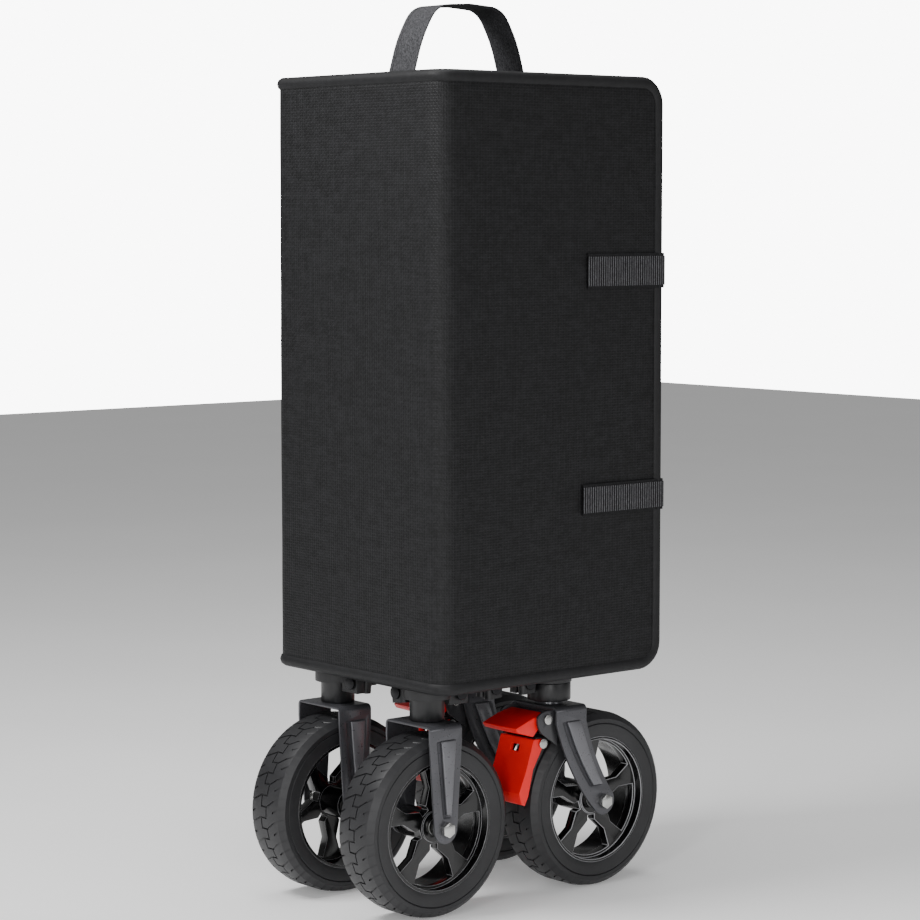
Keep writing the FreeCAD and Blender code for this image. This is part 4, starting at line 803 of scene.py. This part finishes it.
def rounded_corner(before, corner, after, size, count=8):
    """Points of a soft corner: the curve that leaves one side and joins the other."""
    start = Vector(corner).lerp(Vector(before), size / math.dist(corner, before))
    end = Vector(corner).lerp(Vector(after), size / math.dist(corner, after))
    shares = [step / count for step in range(count + 1)]
    bend = [start * (1 - t) ** 2 + Vector(corner) * 2 * t * (1 - t) + end * t ** 2 for t in shares]
    return [tuple(spot) for spot in bend]


def follow(piece, path):
    modify(piece, "CURVE", object=path, deform_axis="POS_X")
    bpy.data.objects.remove(path)


corner = (low.x - 0.4 * MM, high.y + 0.4 * MM)
ends = ((corner[0], corner[1] - 24 * MM), (corner[0] + 24 * MM, corner[1]))
bend = rounded_corner(ends[0], corner, ends[1], 5 * MM)
path, length = path_curve("fold_path", [ends[0], *bend, ends[1]])
fold = upright_grid("mat_corner_fold", "x", 0, 0, length, 24, 20)
ops.object.mode_set(mode="OBJECT")
follow(fold, path)
modify(fold, "SOLIDIFY", thickness=0.8 * MM, offset=0)
finish(fold, None, "mat_fabric", smooth=50)
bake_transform(fold)

# %% [markdown]
# ## Straps
# Each strap is ribbed webbing sewn to the front panel, and it turns the corner and grips the
# right panel. Raised ribs run across it and stop short of a plain selvedge, and they are painted
# lighter than the ground between them, a painted highlight. The webbing is modelled flat, with
# every second strip of faces pushed out, and then the Curve modifier lays it round the corner.

# %% Straps
RIB, RIB_HEIGHT, SELVEDGE, WEB_THICK = 2.9 * MM, 0.9 * MM, 2.4 * MM, 1.2 * MM
OFF_THE_MAT = 1.3 * MM      # the webbing's outer skin stands this far off the front panel
SEWN_LENGTH = 62.8 * MM     # how far it runs along the front panel
for word, past in (("upper", 4 * MM), ("lower", 9 * MM)):
    tab_low, tab_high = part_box(f"{word}_strap")
    skin_x, skin_y = (tab_low.x + tab_high.x) / 2, high.y + OFF_THE_MAT
    sewn = (high.x - THICK - SEWN_LENGTH, skin_y)
    tip = (skin_x, tab_low.y - past)     # the soft end reaches a little past its grip
    turn = (skin_x, skin_y)
    path, length = path_curve("strap_path", [sewn, *rounded_corner(sewn, turn, tip, 4 * MM), tip])
    columns = round(length / RIB) * 2
    strap = upright_grid(f"{word}_strap_webbing", "x", 0, 0, length, columns, 12,
                         tab_low.z, tab_high.z)
    ops.mesh.flip_normals()
    centre_z = (tab_low.z + tab_high.z) / 2
    plain = (tab_high.z - tab_low.z) / 2 - SELVEDGE
    cell = length / columns
    ribs = pick("FACE", lambda face, at: int(at.x / cell) % 2 == 1
                and abs(at.z - centre_z) < plain)
    ops.mesh.extrude_region_shrink_fatten(TRANSFORM_OT_shrink_fatten={"value": RIB_HEIGHT})
    strap.data.materials.append(FINISH["webbing"])
    # the raised ribs take the lighter painted highlight
    strap.data.materials.append(FINISH["webbing_rib"])
    strap.active_material_index = 1
    ops.object.material_slot_assign()
    ops.object.mode_set(mode="OBJECT")
    modify(strap, "SOLIDIFY", thickness=WEB_THICK, offset=-1)
    follow(strap, path)
    finish(strap, None, None, stands_for=[f"{word}_strap"], smooth=30)
    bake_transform(strap)
    print(word, "ribs:", ribs)
rounded_copy("strap_patches", "root", 0.3)

# %% [markdown]
# ## Carry loop
# The loop is one piece of heavy flecked webbing. Its two legs lean in, its shoulders are round
# and its top is slightly bowed, because webbing is stiff across its width and limp along it.
# It is modelled flat with thicker selvedges and then bent along its arch.

# %% Loop
loop_low, loop_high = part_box("carry_loop")
width = loop_high.x - loop_low.x
centre_y = (loop_low.y + loop_high.y) / 2
reach = (loop_high.y - loop_low.y) / 2 - 1.5 * MM
crest = loop_high.z - 1.6 * MM
leg = (reach - 15.5 * MM, crest - 34 * MM)
shoulder = (reach - 34 * MM, crest - 2.5 * MM)
half_arch = [(reach, loop_low.z), *rounded_corner((reach, loop_low.z), leg, shoulder, 15 * MM),
             *rounded_corner(leg, shoulder, (0, crest), 15 * MM), (0, crest)]
arch = half_arch + [(-u, v) for u, v in reversed(half_arch[:-1])]
path, length = path_curve("loop_path", arch)
loop = upright_grid("carry_loop_webbing", "x", 0, 0, length, 96, 12, -width / 2, width / 2)
LOOP_SELVEDGE, SELVEDGE_RISE, LOOP_THICK = 3.2 * MM, 0.4 * MM, 2.4 * MM
pick("FACE", lambda face, at: abs(at.z) > width / 2 - LOOP_SELVEDGE)
ops.mesh.extrude_region_shrink_fatten(TRANSFORM_OT_shrink_fatten={"value": SELVEDGE_RISE})
ops.object.mode_set(mode="OBJECT")
modify(loop, "SOLIDIFY", thickness=LOOP_THICK, offset=0)
follow(loop, path)
loop.data.transform(Matrix(((0, 0, 1, 0), (1, 0, 0, centre_y), (0, 1, 0, 0), (0, 0, 0, 1))))
round_edges(loop, 0.5)
finish(loop, "root", "loop_webbing", stands_for=["carry_loop"], smooth=40)
print("loop length:", round(length, 3), "m")

# %% [markdown]
# ## The folded tub
# The wagon's cloth tub folds in pleats between the crossed bars, and its floor is drawn up over
# the hub. Each wall is an upright grid whose columns go in and out in turn, like an accordion,
# and one round of subdivision softens the creases.

# %% Pleated walls and floor
def area_of(piece):
    return sum(face.area for face in piece.data.polygons)


def pleated(name, along, at, start, end, bottom, top, depth, pitch_mm=7.0):
    """An accordion of cloth between two ends, depth deep."""
    count = max(2, round(abs(end - start) / (pitch_mm * MM))) * 2
    cloth = upright_grid(name, along, at, start, end, count, 10, bottom, top)
    cell = abs(end - start) / count
    axis = 0 if along == "x" else 1
    for parity in (0, 1):
        pick("VERT", lambda v, spot: round((spot[axis] - min(start, end)) / cell) % 2 == parity)
        shift = [0, 0, 0]
        shift[1 - axis] = (parity - 0.5) * depth
        ops.transform.translate(value=shift)
    ops.object.mode_set(mode="OBJECT")
    modify(cloth, "SUBSURF", levels=1, render_levels=1)
    return cloth, (area_of(cloth) / (top - bottom), top - bottom)


walls_low, walls_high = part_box("tub_wall_fabric")
floor_low, floor_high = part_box("tub_floor_fabric")
tub_y = (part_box("floor_hub")[0].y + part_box("floor_hub")[1].y) / 2
pack = 10 * MM
bottom_z, top_z = walls_low.z + MM, walls_high.z - MM
WALLS = [("left", "y", walls_low.x + pack / 2, tub_y - 29 * MM, tub_y + 29 * MM),
         ("right", "y", walls_high.x - pack / 2, tub_y - 29 * MM, tub_y + 29 * MM),
         ("rear", "x", walls_low.y + pack / 2, -21 * MM, 21 * MM),
         ("front", "x", walls_high.y - pack / 2, -21 * MM, 21 * MM),
         ("centre", "y", 0.0, tub_y - 29 * MM, tub_y + 29 * MM)]
for word, along, at, start, end in WALLS:
    centre_fold = word == "centre"
    height = (floor_low.z, floor_low.z + 200 * MM) if centre_fold else (bottom_z, top_z)
    depth = 24 * MM if centre_fold else 8 * MM
    cloth, flat = pleated(f"tub_{word}_pleats", along, at, start, end, *height, depth)
    modify(cloth, "SOLIDIFY", thickness=0.8 * MM, offset=0)
    finish(cloth, "root", "tub_fabric", smooth=60)
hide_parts("tub_wall_fabric")

half_x = floor_high.x - 0.5 * MM
cover_z = floor_high.z - 2.4 * MM
cloth = begin(ops.mesh.primitive_grid_add, "tub_floor_gathered", x_subdivisions=20,
              y_subdivisions=64, size=1)
ops.transform.resize(value=(half_x * 2, floor_high.y - floor_low.y - MM, 1))
ops.transform.translate(value=(0, (floor_high.y + floor_low.y) / 2, cover_z))
shape = bmesh.from_edit_mesh(cloth.data)
for vertex in shape.verts:
    # Folds fan out from the hub, and die away over the hub itself
    turn = math.atan2(vertex.co.x, vertex.co.y - tub_y)
    away = math.hypot(vertex.co.x, vertex.co.y - tub_y)
    wave = math.sin(turn * 9 + 3 * math.sin(away / (18 * MM)))
    vertex.co.z += 1.7 * MM * wave * min(1, away / 0.03)
bmesh.update_edit_mesh(cloth.data)
ops.object.mode_set(mode="OBJECT")
modify(cloth, "SUBSURF", levels=1, render_levels=1)
flat = (half_x * 2, area_of(cloth) / (half_x * 2))
modify(cloth, "SOLIDIFY", thickness=0.8 * MM, offset=0)
finish(cloth, "root", "tub_fabric", stands_for=["tub_floor_fabric"], smooth=60)

# %% [markdown]
# ## Pull handle
# The telescopic handle is stowed upright in front of the frame, inside the mat: a nylon foot on
# its pivot, a black outer tube, a bright inner tube, a locking collar with a red button, and a
# D-shaped soft-touch grip. Their CAD shapes are right; the foot, collar, button and grip get
# rounded edges.

# %% Handle pieces
for node, body, width in (("handle_foot", "pull_handle", 1.0),
                          ("handle_lock_collar", "pull_handle", 0.6),
                          ("handle_lock_button", "lock_button", 0.8),
                          ("handle_grip", "handle_extension", 3.0)):
    rounded_copy(node, body, width, segments=4 if node == "handle_grip" else 2)

# %% [markdown]
# ## Studio
# The wagon stands on a plain pale floor under soft light. The camera looks at it from its right
# rear corner, a little from above, and a long lens keeps the uprights nearly parallel.

# %% Floor, light and camera
SENSOR_MM = 36.0
LENS_MM = 110.703913    # long, so the uprights stay nearly parallel
FLOOR_GLOW = 0.2        # keeps the floor pale away from the lamps

stand = begin(ops.mesh.primitive_plane_add, "studio_floor", size=12)
ops.object.mode_set(mode="OBJECT")
floor_paint, tree, shader = surface("matt_studio_white", 0.9)
grain = add(tree, "ShaderNodeTexNoise", {"Vector": place_of(tree), "Scale": 3.0})
tree.links.new(shade_range(tree, grain.outputs["Fac"], "#f4f4f4", "#f8f8f8"),
               shader.inputs["Base Color"])
shader.inputs["Emission Color"].default_value = linear("#ffffff")
shader.inputs["Emission Strength"].default_value = FLOOR_GLOW
stand.data.materials.append(floor_paint)

world = bpy.context.scene.world
if world is None:
    world = bpy.data.worlds.new("studio")
bpy.context.scene.world = world
world.use_nodes = True
backdrop = world.node_tree.nodes["Background"]
backdrop.inputs["Color"].default_value = linear("#ffffff")
ROOM_LIGHT = 0.17       # what the white room gives the wagon
SEEN_WHITE = 9.0        # how bright its far walls look
rays = add(world.node_tree, "ShaderNodeLightPath")
strength = number(world.node_tree, "MULTIPLY_ADD", rays.outputs["Is Camera Ray"],
                  SEEN_WHITE - ROOM_LIGHT, ROOM_LIGHT)
world.node_tree.links.new(strength, backdrop.inputs["Strength"])


def lamp(name, spot, aim, width, height, power):
    """A soft rectangular lamp that faces a point."""
    light = bpy.data.lights.new(name, "AREA")
    light.shape, light.size, light.size_y, light.energy = "RECTANGLE", width, height, power
    holder = bpy.data.objects.new(name, light)
    bpy.context.scene.collection.objects.link(holder)
    holder.location = spot
    holder.rotation_euler = (Vector(aim) - Vector(spot)).to_track_quat("-Z", "Y").to_euler()


lamp("key_left_rear", (-0.25, -1.05, 1.6), (0, -0.13, 0.85), 0.6, 0.6, 27)
lamp("fill_right", (2.6, 0.9, 1.0), (0, 0, 0.2), 1.0, 1.2, 9)
lamp("strip_by_camera", (1.3, -2.0, 1.1), (0.1, -0.1, 0.55), 0.25, 1.6, 16)
lamp("low_front", (1.5, -0.9, 0.45), (0.07, 0.02, 0.15), 0.35, 0.35, 5)
lamp("top", (0, 0, 2.6), (0, 0, 0.5), 1.6, 1.6, 30)

camera = bpy.data.cameras.new("camera")
camera.sensor_width = SENSOR_MM
camera.lens = LENS_MM
eye = bpy.data.objects.new("camera", camera)
bpy.context.scene.collection.objects.link(eye)
eye.location = (2.1216, -1.7917, 0.6694)
eye.rotation_euler = (math.radians(84.98), 0, math.radians(49.79))
bpy.context.scene.camera = eye
print("camera lens:", round(camera.lens, 2), "mm")
